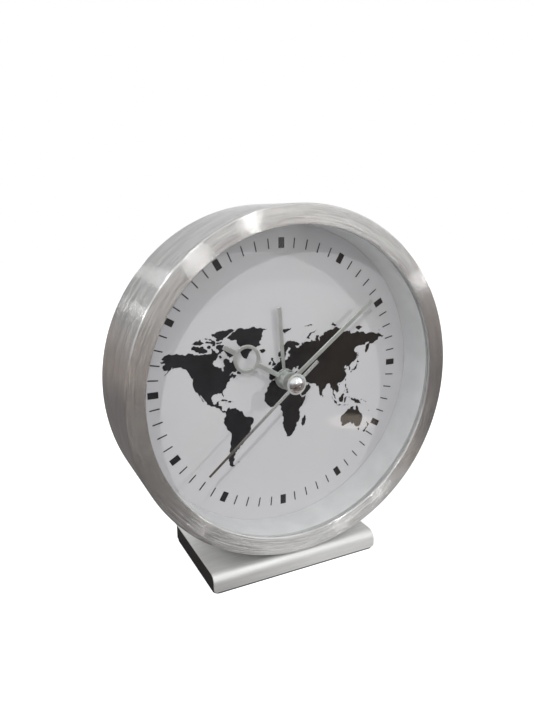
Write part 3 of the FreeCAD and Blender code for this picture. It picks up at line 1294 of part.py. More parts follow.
def alarm_switch():
    """Slide with a grooved thumb piece, a stem through the rear wall and a flange inside."""
    rest_x = switch_x - switch_travel / 2
    half_thumb = switch_thumb_size / 2
    half_flange = switch_flange_size / 2
    thumb_front = movement_back + fit_gap
    thumb_back = thumb_front + switch_thumb_thickness
    flange_back = inner_back - fit_gap
    thumb = block(
        rest_x - half_thumb, rest_x + half_thumb,
        thumb_front, thumb_back,
        switch_z - half_thumb, switch_z + half_thumb,
    )
    for step in (-1, 0, 1):
        middle = rest_x + step * 2 * switch_groove
        thumb = thumb.cut(block(
            middle - switch_groove / 2, middle + switch_groove / 2,
            thumb_back - switch_groove, thumb_back + overrun,
            switch_z - half_thumb - overrun, switch_z + half_thumb + overrun,
        ))
    stem = block(
        rest_x - switch_stem_length / 2, rest_x + switch_stem_length / 2,
        flange_back, thumb_front,
        switch_z - switch_stem_height / 2, switch_z + switch_stem_height / 2,
    )
    flange = block(
        rest_x - half_flange, rest_x + half_flange,
        flange_back - switch_flange_thickness, flange_back,
        switch_z - half_flange, switch_z + half_flange,
    )
    return thumb.fuse(stem).fuse(flange)


# Hands, each drawn at twelve and then turned to its rest angle

def alarm_hand():
    """Short straight hand nearest the dial."""
    front = -alarm_hand_stand
    back = front + hand_sheet
    root = alarm_root_width / 2
    tip = alarm_tip_width / 2
    blade = plate(((-root, 0), (-tip, alarm_reach), (tip, alarm_reach), (root, 0)), front, back)
    bore = disc(alarm_tube_radius + fit_gap, front - overrun, back + overrun)
    return clockwise(blade.fuse(disc(alarm_hub_radius, front, back)).cut(bore), ALARM_ANGLE)


def hour_hand():
    """Hand with a ring, on a short collar."""
    front = -hour_hand_stand
    back = front + hand_sheet
    half = hour_width / 2
    ring_place = (0, hour_ring_middle)
    collar_back = back + hour_collar_length
    body = block(-half, half, front, back, 0, hour_reach)
    body = body.fuse(disc(hour_ring_outer, front, back, ring_place))
    body = body.cut(disc(hour_ring_inner, front - overrun, back + overrun, ring_place))
    body = body.fuse(disc(hour_hub_radius, front, back))
    body = body.fuse(disc(hour_collar_radius, back, collar_back))
    body = body.cut(disc(hour_tube_radius + fit_gap, front - overrun, collar_back + overrun))
    return clockwise(body, HOUR_ANGLE)


def minute_hand():
    """Long bar hand on a tall round hub."""
    front = -minute_hand_stand
    back = front + hand_sheet
    half = minute_width / 2
    hub_back = back + minute_hub_length
    body = block(-half, half, front, back, 0, minute_reach)
    body = body.fuse(disc(minute_hub_radius, front, hub_back))
    body = body.cut(disc(minute_tube_radius + fit_gap, front - overrun, hub_back + overrun))
    return clockwise(body, MINUTE_ANGLE)


def second_hand():
    """Long thin hand with a round ended tail."""
    front = -second_hand_stand
    back = front + second_sheet
    root = second_root_width / 2
    tip = second_tip_width / 2
    blade = plate(((-root, 0), (-tip, second_reach), (tip, second_reach), (root, 0)), front, back)
    tail_middle = (0, root - second_tail)
    tail = block(-root, root, front, back, root - second_tail, 0)
    tail = tail.fuse(disc(root, front, back, tail_middle))
    collar_back = back + second_collar_length
    body = blade.fuse(tail).fuse(disc(second_hub_radius, front, collar_back))
    body = body.cut(disc(second_arbor_radius + fit_gap, front - overrun, collar_back + overrun))
    return clockwise(body, SECOND_ANGLE)


def second_hand_cap():
    """Bright dome with a flat rim, over the end of the second hand's arbor."""
    back = -second_hand_stand
    front = back - cap_rim_thickness
    sphere_radius = cap_sphere_radius(cap_dome_radius, cap_dome_height)
    dome = Part.makeSphere(sphere_radius, Vector(0, front - cap_dome_height + sphere_radius, 0))
    dome = dome.common(disc(cap_dome_radius, front - cap_dome_height, front))
    return disc(cap_rim_radius, front, back).fuse(dome)


# Foot, in the part's own frame

def bent_block(inset, low, back, half_width):
    """Block with a rounded top front edge, inset from the foot's outer faces."""
    front = inset - foot_depth / 2
    top = foot_height - inset
    body = block(-half_width, half_width, front, back, low, top)
    bend = [
        edge for edge in body.Edges
        if abs(edge.CenterOfMass.y - front) < fit_gap and abs(edge.CenterOfMass.z - top) < fit_gap
    ]
    return body.makeFillet(foot_bend_radius - inset, bend)


def foot_drill(radius, low, high):
    """Upright cylinders at the foot's two screws."""
    return Part.makeCompound([
        Part.makeCylinder(radius, high - low, Vector(case_side_offset, dial_place + y, low), UPWARDS)
        for y in foot_screw_places()
    ])


def foot_shell():
    """Folded sheet over the foot's top and front, with rounded lower corners in front."""
    half = foot_width / 2
    outer = bent_block(0, foot_pad_thickness, foot_depth / 2, half)
    inner = bent_block(foot_sheet, -overrun, foot_depth / 2 + overrun, half + overrun)
    body = outer.cut(inner)
    corners = [
        edge for edge in body.Edges
        if abs(edge.BoundBox.ZMax - foot_pad_thickness) < fit_gap
        and edge.BoundBox.XLength < fit_gap
        and abs(abs(edge.CenterOfMass.x) - half) < fit_gap
    ]
    body = body.makeFillet(foot_corner_radius, corners)
    return body.cut(foot_drill(foot_screw_radius + running_gap, 0, foot_height + overrun))


def foot_core():
    """Black block under the sheet."""
    half = foot_width / 2 - foot_core_inset
    body = bent_block(foot_sheet, foot_pad_thickness, foot_depth / 2 - foot_core_inset, half)
    body = body.cut(foot_drill(foot_screw_radius + running_gap, 0, foot_height))
    seat = foot_pad_thickness + foot_screw_head_height + free_gap
    return body.cut(foot_drill(foot_screw_head_radius + running_gap, 0, seat))


def foot_pad():
    """Thin soft pad that the clock stands on."""
    half = foot_width / 2 - foot_pad_inset
    half_depth = foot_depth / 2 - foot_pad_inset
    body = block(-half, half, -half_depth, half_depth, 0, foot_pad_thickness)
    hole_radius = foot_screw_head_radius + running_gap
    return body.cut(foot_drill(hole_radius, -overrun, foot_pad_thickness + overrun))


def foot_screws():
    """Screws up through the foot and the case into the carrier's block."""
    seat = foot_pad_thickness + foot_screw_head_height + free_gap
    top = foot_height + case_wall + foot_screw_grip
    screws = []
    for y in foot_screw_places():
        start = Vector(case_side_offset, dial_place + y, seat - foot_screw_head_height)
        head = Part.makeCylinder(foot_screw_head_radius, foot_screw_head_height, start, UPWARDS)
        shank_start = start + UPWARDS * foot_screw_head_height
        shank = Part.makeCylinder(foot_screw_radius, top - seat, shank_start, UPWARDS)
        slot_half = screw_slot_width / 2
        slot = Part.makeBox(
            2 * (foot_screw_head_radius + overrun), screw_slot_width, overrun + screw_slot_depth,
            start - Vector(foot_screw_head_radius + overrun, slot_half, overrun),
        )
        screws.append(head.fuse(shank).cut(slot))
    return Part.makeCompound(screws)


CLOCK_NODES = (
    case_ring, crystal, crystal_gasket, rehaut_ring, dial_plate, dial_markers, dial_map, dial_carrier,
    back_cover, back_cover_screws, movement_screws, movement_base, movement_cover, middle_plate,
    alarm_wheel, alarm_set_wheel, minute_wheel, hour_wheel, cannon_pinion, centre_wheel, third_wheel,
    second_wheel, intermediate_wheel, rotor_pinion, rotor_magnet, stator, coil_core, coil_bobbin,
    coil_winding, circuit_board, chip_cap, quartz_can, buzzer, battery, battery_contact_plus,
    battery_contact_minus, battery_door, time_set_knob, alarm_set_knob, alarm_switch, alarm_hand,
    hour_hand, minute_hand, second_hand, second_hand_cap,
)
FOOT_NODES = (foot_shell, foot_core, foot_pad, foot_screws)


def main():
    """Write one file for each piece."""
    os.makedirs("parts", exist_ok=True)
    for make in CLOCK_NODES:
        shape = make()
        shape.translate(clock_place)
        shape.exportStep("parts/" + make.__name__ + ".step")
    for make in FOOT_NODES:
        make().exportStep("parts/" + make.__name__ + ".step")


main()
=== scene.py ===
"""Looks of a round table alarm clock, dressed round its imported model.

Sizes in the class fields are millimetres in the model's own frame: +Z is up, the dial faces -Y, and
the origin is the centre of the foot's underside. Meshes are written in metres.
"""

from abc import ABC, abstractmethod
from dataclasses import dataclass
from enum import Enum
import json
import logging
import math
from typing import Sequence

import bmesh
import bpy
from mathutils import Matrix, Vector
from mathutils.geometry import delaunay_2d_cdt
import numpy as np


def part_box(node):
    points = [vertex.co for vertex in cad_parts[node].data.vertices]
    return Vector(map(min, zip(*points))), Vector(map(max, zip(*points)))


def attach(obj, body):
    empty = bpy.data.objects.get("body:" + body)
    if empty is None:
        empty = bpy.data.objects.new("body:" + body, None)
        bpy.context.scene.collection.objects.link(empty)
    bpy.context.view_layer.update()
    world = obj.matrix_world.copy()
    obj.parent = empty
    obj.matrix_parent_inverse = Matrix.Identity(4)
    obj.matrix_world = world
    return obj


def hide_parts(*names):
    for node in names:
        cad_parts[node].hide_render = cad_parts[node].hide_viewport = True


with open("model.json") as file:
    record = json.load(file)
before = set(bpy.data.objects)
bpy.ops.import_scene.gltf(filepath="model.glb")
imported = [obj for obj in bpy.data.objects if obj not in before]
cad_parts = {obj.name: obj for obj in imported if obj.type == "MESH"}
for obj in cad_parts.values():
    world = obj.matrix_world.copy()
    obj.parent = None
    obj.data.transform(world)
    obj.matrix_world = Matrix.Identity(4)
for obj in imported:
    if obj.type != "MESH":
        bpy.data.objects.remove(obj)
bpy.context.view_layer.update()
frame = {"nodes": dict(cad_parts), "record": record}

LOG = logging.getLogger("clock")
MM = 0.001
WELD = 2e-7
Colour = tuple[float, float, float]
WHITE = (1.0, 1.0, 1.0)
TIME_KNOB = (-6.6, 66.8)
ALARM_KNOB = (11.4, 66.8)


@dataclass(frozen=True)
class Layout:
    """Where the clock stands in the frame."""

    axis_x: float
    axis_z: float
    dial_y: float

    @classmethod
    def read(cls) -> "Layout":
        """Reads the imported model.

        Returns:
            The hands' axis, from the crystal's middle, and the depth of the dial's face.
        """
        low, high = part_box("crystal")
        dial_low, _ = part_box("dial_plate")
        return cls((low.x + high.x) / 2 / MM, (low.z + high.z) / 2 / MM, dial_low.y / MM)


LAYOUT = Layout.read()


# Shader graphs

class Signal:
    """One output of a shader node, with arithmetic that adds Math nodes."""

    def __init__(self, graph: "Graph", socket: bpy.types.NodeSocket) -> None:
        """Keeps the graph and the socket that the value comes from."""
        self.graph = graph
        self.socket = socket

    def __add__(self, other: "Value") -> "Signal":
        """Sum."""
        return self.graph.maths("ADD", self, other)

    __radd__ = __add__

    def __sub__(self, other: "Value") -> "Signal":
        """Difference."""
        return self.graph.maths("SUBTRACT", self, other)

    def __rsub__(self, other: "Value") -> "Signal":
        """Difference, from a number."""
        return self.graph.maths("SUBTRACT", other, self)

    def __mul__(self, other: "Value") -> "Signal":
        """Product."""
        return self.graph.maths("MULTIPLY", self, other)

    __rmul__ = __mul__

    def __truediv__(self, other: "Value") -> "Signal":
        """Quotient."""
        return self.graph.maths("DIVIDE", self, other)

    def __pow__(self, other: "Value") -> "Signal":
        """Power."""
        return self.graph.maths("POWER", self, other)

    def __gt__(self, other: "Value") -> "Signal":
        """1 where this is larger, else 0."""
        return self.graph.maths("GREATER_THAN", self, other)

    def __lt__(self, other: "Value") -> "Signal":
        """1 where this is smaller, else 0."""
        return self.graph.maths("LESS_THAN", self, other)


Value = float | Signal


class Graph:
    """A node tree that is being filled."""

    def __init__(self, tree: bpy.types.NodeTree) -> None:
        """Empties the tree.

        Args:
            tree: The node tree of a material or of the world.
        """
        self.tree = tree
        tree.nodes.clear()

    def node(self, kind: str, settings: dict | None = None, sockets: dict | None = None,
             output: int | str = 0) -> Signal | None:
        """Adds a node of any type.

        Args:
            kind: Blender's name of the node's type.
            settings: Its settings, set first. "stops" holds a ramp's (place, colour) pairs.
            sockets: A value or a signal for each named or numbered input.
            output: Which output to return.

        Returns:
            The chosen output, or None from a node that has none.
        """
        made = self.tree.nodes.new(kind)
        for name, setting in (settings or {}).items():
            if name == "stops":
                self._set_stops(made.color_ramp, setting)
            else:
                setattr(made, name, setting)
        for key, value in (sockets or {}).items():
            if isinstance(value, Signal):
                self.tree.links.new(value.socket, made.inputs[key])
            else:
                made.inputs[key].default_value = value
        return Signal(self, made.outputs[output]) if len(made.outputs) else None

    @staticmethod
    def _set_stops(ramp: bpy.types.ColorRamp, stops: Sequence[tuple[float, Colour]]) -> None:
        """Writes a ramp's stops.

        Args:
            ramp: The ramp, which has two stops to start with.
            stops: Place and colour of each stop.
        """
        while len(ramp.elements) < len(stops):
            ramp.elements.new(1.0)
        for element, (place, colour) in zip(ramp.elements, stops):
            element.position = place
            element.color = (*colour, 1.0)

    def maths(self, operation: str, *values: Value) -> Signal:
        """Adds a Math node."""
        return self.node("ShaderNodeMath", {"operation": operation}, dict(enumerate(values)))

    def vector(self, operation: str, *values: object, output: int | str = 0) -> Signal:
        """Adds a Vector Math node.

        Args:
            operation: The node's operation.
            *values: Its inputs in order. SCALE takes its number as the second value.
            output: Which output to return.

        Returns:
            The chosen output.
        """
        sockets = dict(enumerate(values))
        if operation == "SCALE":
            sockets = {0: values[0], "Scale": values[1]}
        return self.node("ShaderNodeVectorMath", {"operation": operation}, sockets, output)

    def dot(self, first: object, second: object) -> Signal:
        """Dot product of two vectors."""
        return self.vector("DOT_PRODUCT", first, second, output="Value")

    def mix(self, factor: Value, first: object, second: object) -> Signal:
        """Mixes two colours."""
        ends = [end if isinstance(end, Signal) else (*end, 1.0) for end in (first, second)]
        return self.node("ShaderNodeMix", {"data_type": "RGBA"}, {0: factor, 6: ends[0], 7: ends[1]}, 2)

    def spread(self, value: Value, low: float, high: float, start: float = 0.0,
               end: float = 1.0) -> Signal:
        """Maps low to start and high to end, held at both."""
        sockets = {"Value": value, "From Min": low, "From Max": high, "To Min": start, "To Max": end}
        return self.node("ShaderNodeMapRange", {}, sockets)

    def noise(self, place: Signal, scale: float, detail: float = 2.0, rough: float = 0.5,
              output: int | str = 0) -> Signal:
        """Noise between 0 and 1 at a place."""
        sockets = {"Vector": place, "Scale": scale, "Detail": detail, "Roughness": rough}
        return self.node("ShaderNodeTexNoise", {}, sockets, output)

    def hashed(self, first: Value, second: Value) -> Signal:
        """An even random number between 0 and 1 for each pair of numbers."""
        return self.node("ShaderNodeTexWhiteNoise", {"noise_dimensions": "2D"},
                         {"Vector": self.join(first, second, 0.0)})

    def place(self) -> Signal:
        """Object coordinates in millimetres."""
        return self.vector("SCALE", self.node("ShaderNodeTexCoord", output="Object"), 1.0 / MM)

    def parts(self, vector: Signal) -> tuple[Signal, Signal, Signal]:
        """Takes a vector apart.

        Args:
            vector: Any vector.

        Returns:
            Its three numbers.
        """
        first = self.node("ShaderNodeSeparateXYZ", {}, {0: vector})
        outputs = first.socket.node.outputs
        return first, Signal(self, outputs[1]), Signal(self, outputs[2])

    def join(self, x: Value, y: Value, z: Value) -> Signal:
        """A vector of three numbers."""
        return self.node("ShaderNodeCombineXYZ", {}, {0: x, 1: y, 2: z})

    def polar(self, place: Signal) -> tuple[Signal, Signal, Signal]:
        """Measures a place from the hands' axis.

        Args:
            place: Object coordinates in millimetres.

        Returns:
            How far it is to the right of the axis, above it and away from it.
        """
        x, _, z = self.parts(place)
        across, up = x - LAYOUT.axis_x, z - LAYOUT.axis_z
        return across, up, self.maths("SQRT", across * across + up * up)

    def across(self, along: object) -> Signal:
        """The direction in the surface that is square to another."""
        normal = self.node("ShaderNodeTexCoord", output="Normal")
        return self.vector("NORMALIZE", self.vector("CROSS_PRODUCT", normal, along))

    def leaned(self, lean: Signal) -> Signal:
        """The surface's normal, leaned by a vector in object space.

        Args:
            lean: What is added to the unit normal before it is made a unit again.

        Returns:
            A normal in world space.
        """
        normal = self.node("ShaderNodeTexCoord", output="Normal")
        summed = self.vector("ADD", normal, lean)
        settings = {"vector_type": "NORMAL", "convert_from": "OBJECT", "convert_to": "WORLD"}
        turned = self.node("ShaderNodeVectorTransform", settings, {0: summed})
        return self.vector("NORMALIZE", turned)

    def bump(self, height: Signal, depth: float, strength: float = 1.0) -> Signal:
        """A normal from a height between 0 and 1, times a depth in millimetres."""
        sockets = {"Height": height, "Distance": depth * MM, "Strength": strength}
        return self.node("ShaderNodeBump", {}, sockets)

    def principled(self, **sockets: object) -> Signal:
        """Adds a Principled shader.

        Args:
            **sockets: A value or a signal for each input. Underscores in the names stand for spaces.

        Returns:
            The shader.
        """
        named = {name.replace("_", " "): value for name, value in sockets.items()}
        colour = named.get("Base Color")
        if isinstance(colour, tuple):
            named["Base Color"] = (*colour, 1.0)
        return self.node("ShaderNodeBsdfPrincipled", {}, named)


# Finishes

@dataclass(frozen=True)
class Finish(ABC):
    """A surface finish, made into one material."""

    name: str

    @abstractmethod
    def shade(self, graph: Graph) -> Signal:
        """Fills a graph and returns the surface's shader."""

    def material(self) -> bpy.types.Material:
        """Makes the material.

        Returns:
            A material whose surface is this finish.
        """
        made = bpy.data.materials.new(self.name)
        made.use_nodes = True
        graph = Graph(made.node_tree)
        graph.node("ShaderNodeOutputMaterial", {}, {"Surface": self.shade(graph)})
        return made


@dataclass(frozen=True)
class RoundBrushed(Finish):
    """Metal turned and brushed round the hands' axis.

    The normal leans along the profile by amounts that change only from groove to groove, as on the
    real ring, so a lamp makes a narrow bright wedge across it. Each groove leans the normal evenly
    through a range of angles, and rows of grooves have a deeper or shallower range.
    """

    tint: Colour = (0.92, 0.92, 0.912)
    roughness: float = 0.13
    spread_angle: float = 2.2
    lean: float = 0.46
    groove: float = 0.07
    row: float = 0.15
    ring_radius: float = 60.0
    dashes: float = 0.17
    dash_share: float = 0.65

    def shade(self, graph: Graph) -> Signal:
        """Leans the normal along the profile, evenly across each groove.

        The lean is the tangent of an angle that runs evenly to and fro across a groove, times
        a depth that is random for each row of grooves and for each dash along it.

        Args:
            graph: The material's empty graph.

        Returns:
            The surface's shader.
        """
        place = graph.place()
        across, up, radius = graph.polar(place)
        _, y, _ = graph.parts(place)
        arc = graph.maths("ARCTAN2", up, across) * self.ring_radius
        profile = radius - y
        share = graph.maths("FRACT", profile / self.groove)
        wave = graph.maths("ABSOLUTE", share * 2.0 - 1.0) - 0.5
        row = graph.hashed(graph.maths("FLOOR", profile / self.row), 5.0)
        dash = graph.hashed(row * 37.0, graph.maths("FLOOR", arc * self.dashes + row * 11.0))
        line = dash * self.dash_share + row * (1 - self.dash_share)
        steep = line * (self.lean * 1.5) + self.lean * 0.2
        lean = graph.maths("TANGENT", wave * self.spread_angle) * steep
        wear = graph.noise(graph.join(profile * 0.25, arc * 0.05, 7.0), 1.0, 2.0, 0.5)
        along = graph.across(graph.join(up * -1.0, 0.0, across))
        leaned = graph.leaned(graph.vector("SCALE", along, lean))
        dark = tuple(part * 0.6 for part in self.tint)
        colour = graph.mix(line * 0.6 + graph.spread(wear, 0.3, 0.7) * 0.4, dark, self.tint)
        rough = self.roughness + line * 0.04
        return graph.principled(Base_Color=colour, Metallic=1.0, Roughness=rough, Normal=leaned)


@dataclass(frozen=True)
class StraightBrushed(Finish):
    """Sheet metal brushed in straight lines, then blasted to a soft sparkle."""

    tint: Colour
    roughness: float
    lean: float
    along: tuple[float, float, float]
    pitch: float = 6.0
    stretch: float = 0.93
    metal: float = 0.7

    def shade(self, graph: Graph) -> Signal:
        """Leans the normal across the brushing by noise that is stretched along it.

        Args:
            graph: The material's empty graph.

        Returns:
            The surface's shader.
        """
        place = graph.place()
        lengthways = graph.vector("SCALE", self.along, graph.dot(place, self.along))
        crossways = graph.vector("SUBTRACT", place, graph.vector("SCALE", lengthways, self.stretch))
        fine = graph.noise(crossways, self.pitch, 2.0, 0.7) - 0.5
        broad = graph.noise(crossways, self.pitch / 5, 2.0, 0.6)
        sparkle = graph.noise(place, 7.0, 2.0, 0.7)
        lean = fine * self.lean + (sparkle - 0.5) * (self.lean * 0.8)
        leaned = graph.leaned(graph.vector("SCALE", graph.across(self.along), lean))
        dark = tuple(part * 0.88 for part in self.tint)
        colour = graph.mix(graph.spread(broad * 0.6 + sparkle * 0.4, 0.35, 0.65), dark, self.tint)
        rough = self.roughness + sparkle * 0.08
        return graph.principled(Base_Color=colour, Metallic=self.metal, Roughness=rough, Normal=leaned)


@dataclass(frozen=True)
class SatinMetal(Finish):
    """Plain metal with a faint grain and a slow change of tone."""

    tint: Colour
    roughness: float
    grain: float = 0.004
    pitch: float = 3.0
    metal: float = 1.0

    def shade(self, graph: Graph) -> Signal:
        """Bumps the metal by its grain and darkens it in slow clouds.

        Args:
            graph: The material's empty graph.

        Returns:
            The surface's shader.
        """
        place = graph.place()
        grain = graph.noise(place, self.pitch, 4.0, 0.65)
        cloud = graph.noise(place, 0.25, 2.0)
        dark = tuple(part * 0.86 for part in self.tint)
        colour = graph.mix(graph.spread(cloud, 0.35, 0.65), dark, self.tint)
        rough = self.roughness * 0.8 + grain * (self.roughness * 0.4)
        normal = graph.bump(grain, self.grain)
        return graph.principled(Base_Color=colour, Metallic=self.metal, Roughness=rough, Normal=normal)


@dataclass(frozen=True)
class PaintedReflectionStrip(Finish):
    """Polished metal of the second hand, with a painted reflection: silver by the axis, dark brown
    outwards along its long side.
    """

    # near and far are the tones of a painted reflection: silver by the axis, dark brown further out.
    near: Colour = (0.62, 0.63, 0.62)
    far: Colour = (0.17, 0.14, 0.125)
    start: float = 8.0
    end: float = 36.0

    def shade(self, graph: Graph) -> Signal:
        """Mixes the two painted reflection tones by the distance from the hands' axis.

        Args:
            graph: The material's empty graph.

        Returns:
            The surface's shader.
        """
        place = graph.place()
        _, _, reach = graph.polar(place)
        grain = graph.noise(place, 5.0, 3.0, 0.6)
        # Painted reflection: silver near the axis, turning dark brown further out.
        tone = graph.spread(reach + grain * 5.0, self.start, self.end)
        colour = graph.mix(tone, self.near, self.far)
        rough = 0.2 + grain * 0.14
        return graph.principled(Base_Color=colour, Metallic=0.6, Roughness=rough,
                                Normal=graph.bump(grain, 0.002))


@dataclass(frozen=True)
class CapChrome(Finish):
    """Mirror chrome of the cap's dome, with a painted dark brownish reflection in blots low down, and a
    matt rim round it.
    """

    dome_radius: float = 3.04
    bright: Colour = (0.86, 0.86, 0.87)
    painted_dark_reflection: Colour = (0.3, 0.22, 0.19)
    rim: Colour = (0.66, 0.67, 0.66)

    def shade(self, graph: Graph) -> Signal:
        """Paints a dark brownish reflection on the dome in blots low down, and makes it matt past its
        radius.

        Args:
            graph: The material's empty graph.

        Returns:
            The surface's shader.
        """
        place = graph.place()
        _, up, reach = graph.polar(place)
        rim = reach > self.dome_radius
        wear = graph.noise(place, 2.5, 3.0, 0.6)
        blots = graph.spread(graph.noise(place, 0.8, 2.0, 0.5), 0.42, 0.58)
        # Painted reflection: the dark blots fade out towards the dome's top.
        low = graph.spread(up, -1.0, 1.2, 1.0, 0.0)
        colour = graph.mix(rim, graph.mix(blots * low, self.bright, self.painted_dark_reflection), self.rim)
        rough = graph.spread(wear, 0.3, 0.7, 0.02, 0.06) + rim * 0.3
        return graph.principled(Base_Color=colour, Metallic=1.0 - rim * 0.55, Roughness=rough)


@dataclass(frozen=True)
class Moulded(Finish):
    """Moulded plastic or rubber with the fine grain of a spark eroded mould."""

    tint: Colour
    roughness: float
    grain: float = 0.03
    pitch: float = 4.0
    level: float = 0.5

    def shade(self, graph: Graph) -> Signal:
        """Bumps the plastic by its grain and lightens it in slow clouds.

        Args:
            graph: The material's empty graph.

        Returns:
            The surface's shader.
        """
        place = graph.place()
        grain = graph.noise(place, self.pitch, 3.0, 0.6)
        cloud = graph.noise(place, 0.12, 2.0)
        light = tuple(min(1.0, part * 1.12 + 0.004) for part in self.tint)
        colour = graph.mix(graph.spread(cloud, 0.3, 0.7), self.tint, light)
        rough = graph.spread(grain, 0.25, 0.75, self.roughness - 0.07, self.roughness + 0.07)
        normal = graph.bump(grain, self.grain)
        return graph.principled(Base_Color=colour, Roughness=rough, Normal=normal,
                                Specular_IOR_Level=self.level)


@dataclass(frozen=True)
class DialPaint(Finish):
    """Satin paint of the dial, with a very fine orange peel."""

    tint: Colour = (0.605, 0.595, 0.622)

    def shade(self, graph: Graph) -> Signal:
        """Bumps the paint by its peel and warms it in slow clouds.

        Args:
            graph: The material's empty graph.

        Returns:
            The surface's shader.
        """
        place = graph.place()
        peel = graph.noise(place, 1.3, 3.0, 0.5)
        cloud = graph.noise(place, 0.03, 2.0)
        red, green, blue = self.tint
        warm = (red * 1.01, green, blue * 0.98)
        colour = graph.mix(graph.spread(cloud, 0.35, 0.65), self.tint, warm)
        rough = graph.spread(peel, 0.3, 0.7, 0.36, 0.46)
        return graph.principled(Base_Color=colour, Roughness=rough, Normal=graph.bump(peel, 0.01),
                                Specular_IOR_Level=0.4)


@dataclass(frozen=True)
class PrintInk(Finish):
    """Glossy black ink, uneven where the pad laid it down, with a painted reflection: bluish left,
    brownish right.
    """

    cool_reflection: tuple[Colour, Colour] = ((0.005, 0.005, 0.007), (0.011, 0.011, 0.015))
    warm: tuple[Colour, Colour] = ((0.007, 0.004, 0.003), (0.013, 0.008, 0.006))

    def shade(self, graph: Graph) -> Signal:
        """Mixes the bluish and the brownish painted reflection tones by the place across the dial.

        Args:
            graph: The material's empty graph.

        Returns:
            The surface's shader.
        """
        place = graph.place()
        x, _, _ = graph.parts(place)
        lay = graph.spread(graph.noise(place, 0.16, 2.0), 0.35, 0.65)
        cool_reflection, warm = (graph.mix(lay, *tones) for tones in (self.cool_reflection, self.warm))
        # Painted reflection: bluish tones on the left of the dial, brownish ones on the right.
        colour = graph.mix(graph.spread(x, -2.0, 22.0), cool_reflection, warm)
        rough = graph.spread(graph.noise(place, 0.9, 2.0), 0.3, 0.7, 0.28, 0.4)
        return graph.principled(Base_Color=colour, Roughness=rough, Specular_IOR_Level=0.5)


@dataclass(frozen=True)
class ClearGlass(Finish):
    """Flat mineral glass: see-through, with the mirror share that its angle gives."""

    index: float = 1.45
    mirror_share: float = 0.85
    tint: Colour = (0.985, 0.99, 0.988)

    def shade(self, graph: Graph) -> Signal:
        """Mixes a see-through sheet with a mirror, which its outer side alone has.

        Args:
            graph: The material's empty graph.

        Returns:
            The surface's shader.
        """
        share = graph.node("ShaderNodeFresnel", {}, {"IOR": self.index})
        inside = graph.node("ShaderNodeNewGeometry", output="Backfacing")
        smear = graph.spread(graph.noise(graph.place(), 0.05, 2.0), 0.3, 0.7, 0.01, 0.03)
        through = graph.node("ShaderNodeBsdfTransparent", {}, {"Color": (*self.tint, 1.0)})
        mirror = graph.node("ShaderNodeBsdfGlossy", {}, {"Roughness": smear})
        factor = share * (1.0 - inside) * self.mirror_share
        return graph.node("ShaderNodeMixShader", {}, {0: factor, 1: through, 2: mirror})


@dataclass(frozen=True)
class WoundWire(Finish):
    """Enamelled copper wire, wound side by side along a coil."""

    pitch: float = 0.16
    shade_tint: Colour = (0.30, 0.09, 0.03)
    light_tint: Colour = (0.78, 0.34, 0.16)

    def shade(self, graph: Graph) -> Signal:
        """Bumps the coil by a sine of the distance along it, and paints shade between the turns and
        light on their tops.

        Args:
            graph: The material's empty graph.

        Returns:
            The surface's shader.
        """
        x, y, z = graph.parts(graph.place())
        turns = graph.maths("SINE", x * (2 * math.pi / self.pitch)) * 0.5
        cloud = graph.noise(graph.join(x * 3.0, y, z), 0.8, 2.0)
        colour = graph.mix(graph.spread(turns + cloud, 0.2, 1.3), self.shade_tint, self.light_tint)
        return graph.principled(Base_Color=colour, Metallic=0.85, Roughness=0.3,
                                Normal=graph.bump(turns + 0.5, 0.05))


@dataclass(frozen=True)
class CircuitLacquer(Finish):
    """Green solder mask with tinned copper tracks showing through."""

    def shade(self, graph: Graph) -> Signal:
        """Raises tracks whose place shifts from row to row.

        Args:
            graph: The material's empty graph.

        Returns:
            The surface's shader.
        """
        place = graph.place()
        x, _, z = graph.parts(place)
        ways = graph.maths("FRACT", (x + graph.maths("FLOOR", z * 0.35) * 0.7) * 0.6)
        track = (ways > 0.45) * (ways < 0.72)
        weave = graph.noise(place, 6.0, 2.0)
        mask = graph.mix(graph.spread(weave, 0.3, 0.7), (0.010, 0.075, 0.028), (0.016, 0.11, 0.042))
        colour = graph.mix(track * 0.7, mask, (0.03, 0.22, 0.075))
        return graph.principled(Base_Color=colour, Roughness=0.32, Normal=graph.bump(track, 0.03))


@dataclass(frozen=True)
class CellSleeve(Finish):
    """Plain shrink sleeve of a cell: dark along most of it, with a copper coloured end."""

    left: float = -12.0

    def shade(self, graph: Graph) -> Signal:
        """Colours the end that lies on the left, and wears the rest a little.

        Args:
            graph: The material's empty graph.

        Returns:
            The surface's shader.
        """
        place = graph.place()
        x, _, _ = graph.parts(place)
        end = x < self.left
        wear = graph.noise(place, 2.0, 3.0)
        dark = graph.mix(graph.spread(wear, 0.3, 0.7), (0.012, 0.012, 0.014), (0.025, 0.025, 0.028))
        colour = graph.mix(end, dark, (0.55, 0.27, 0.10))
        return graph.principled(Base_Color=colour, Metallic=end * 0.7, Roughness=0.28 + wear * 0.1,
                                Coat_Weight=0.4)


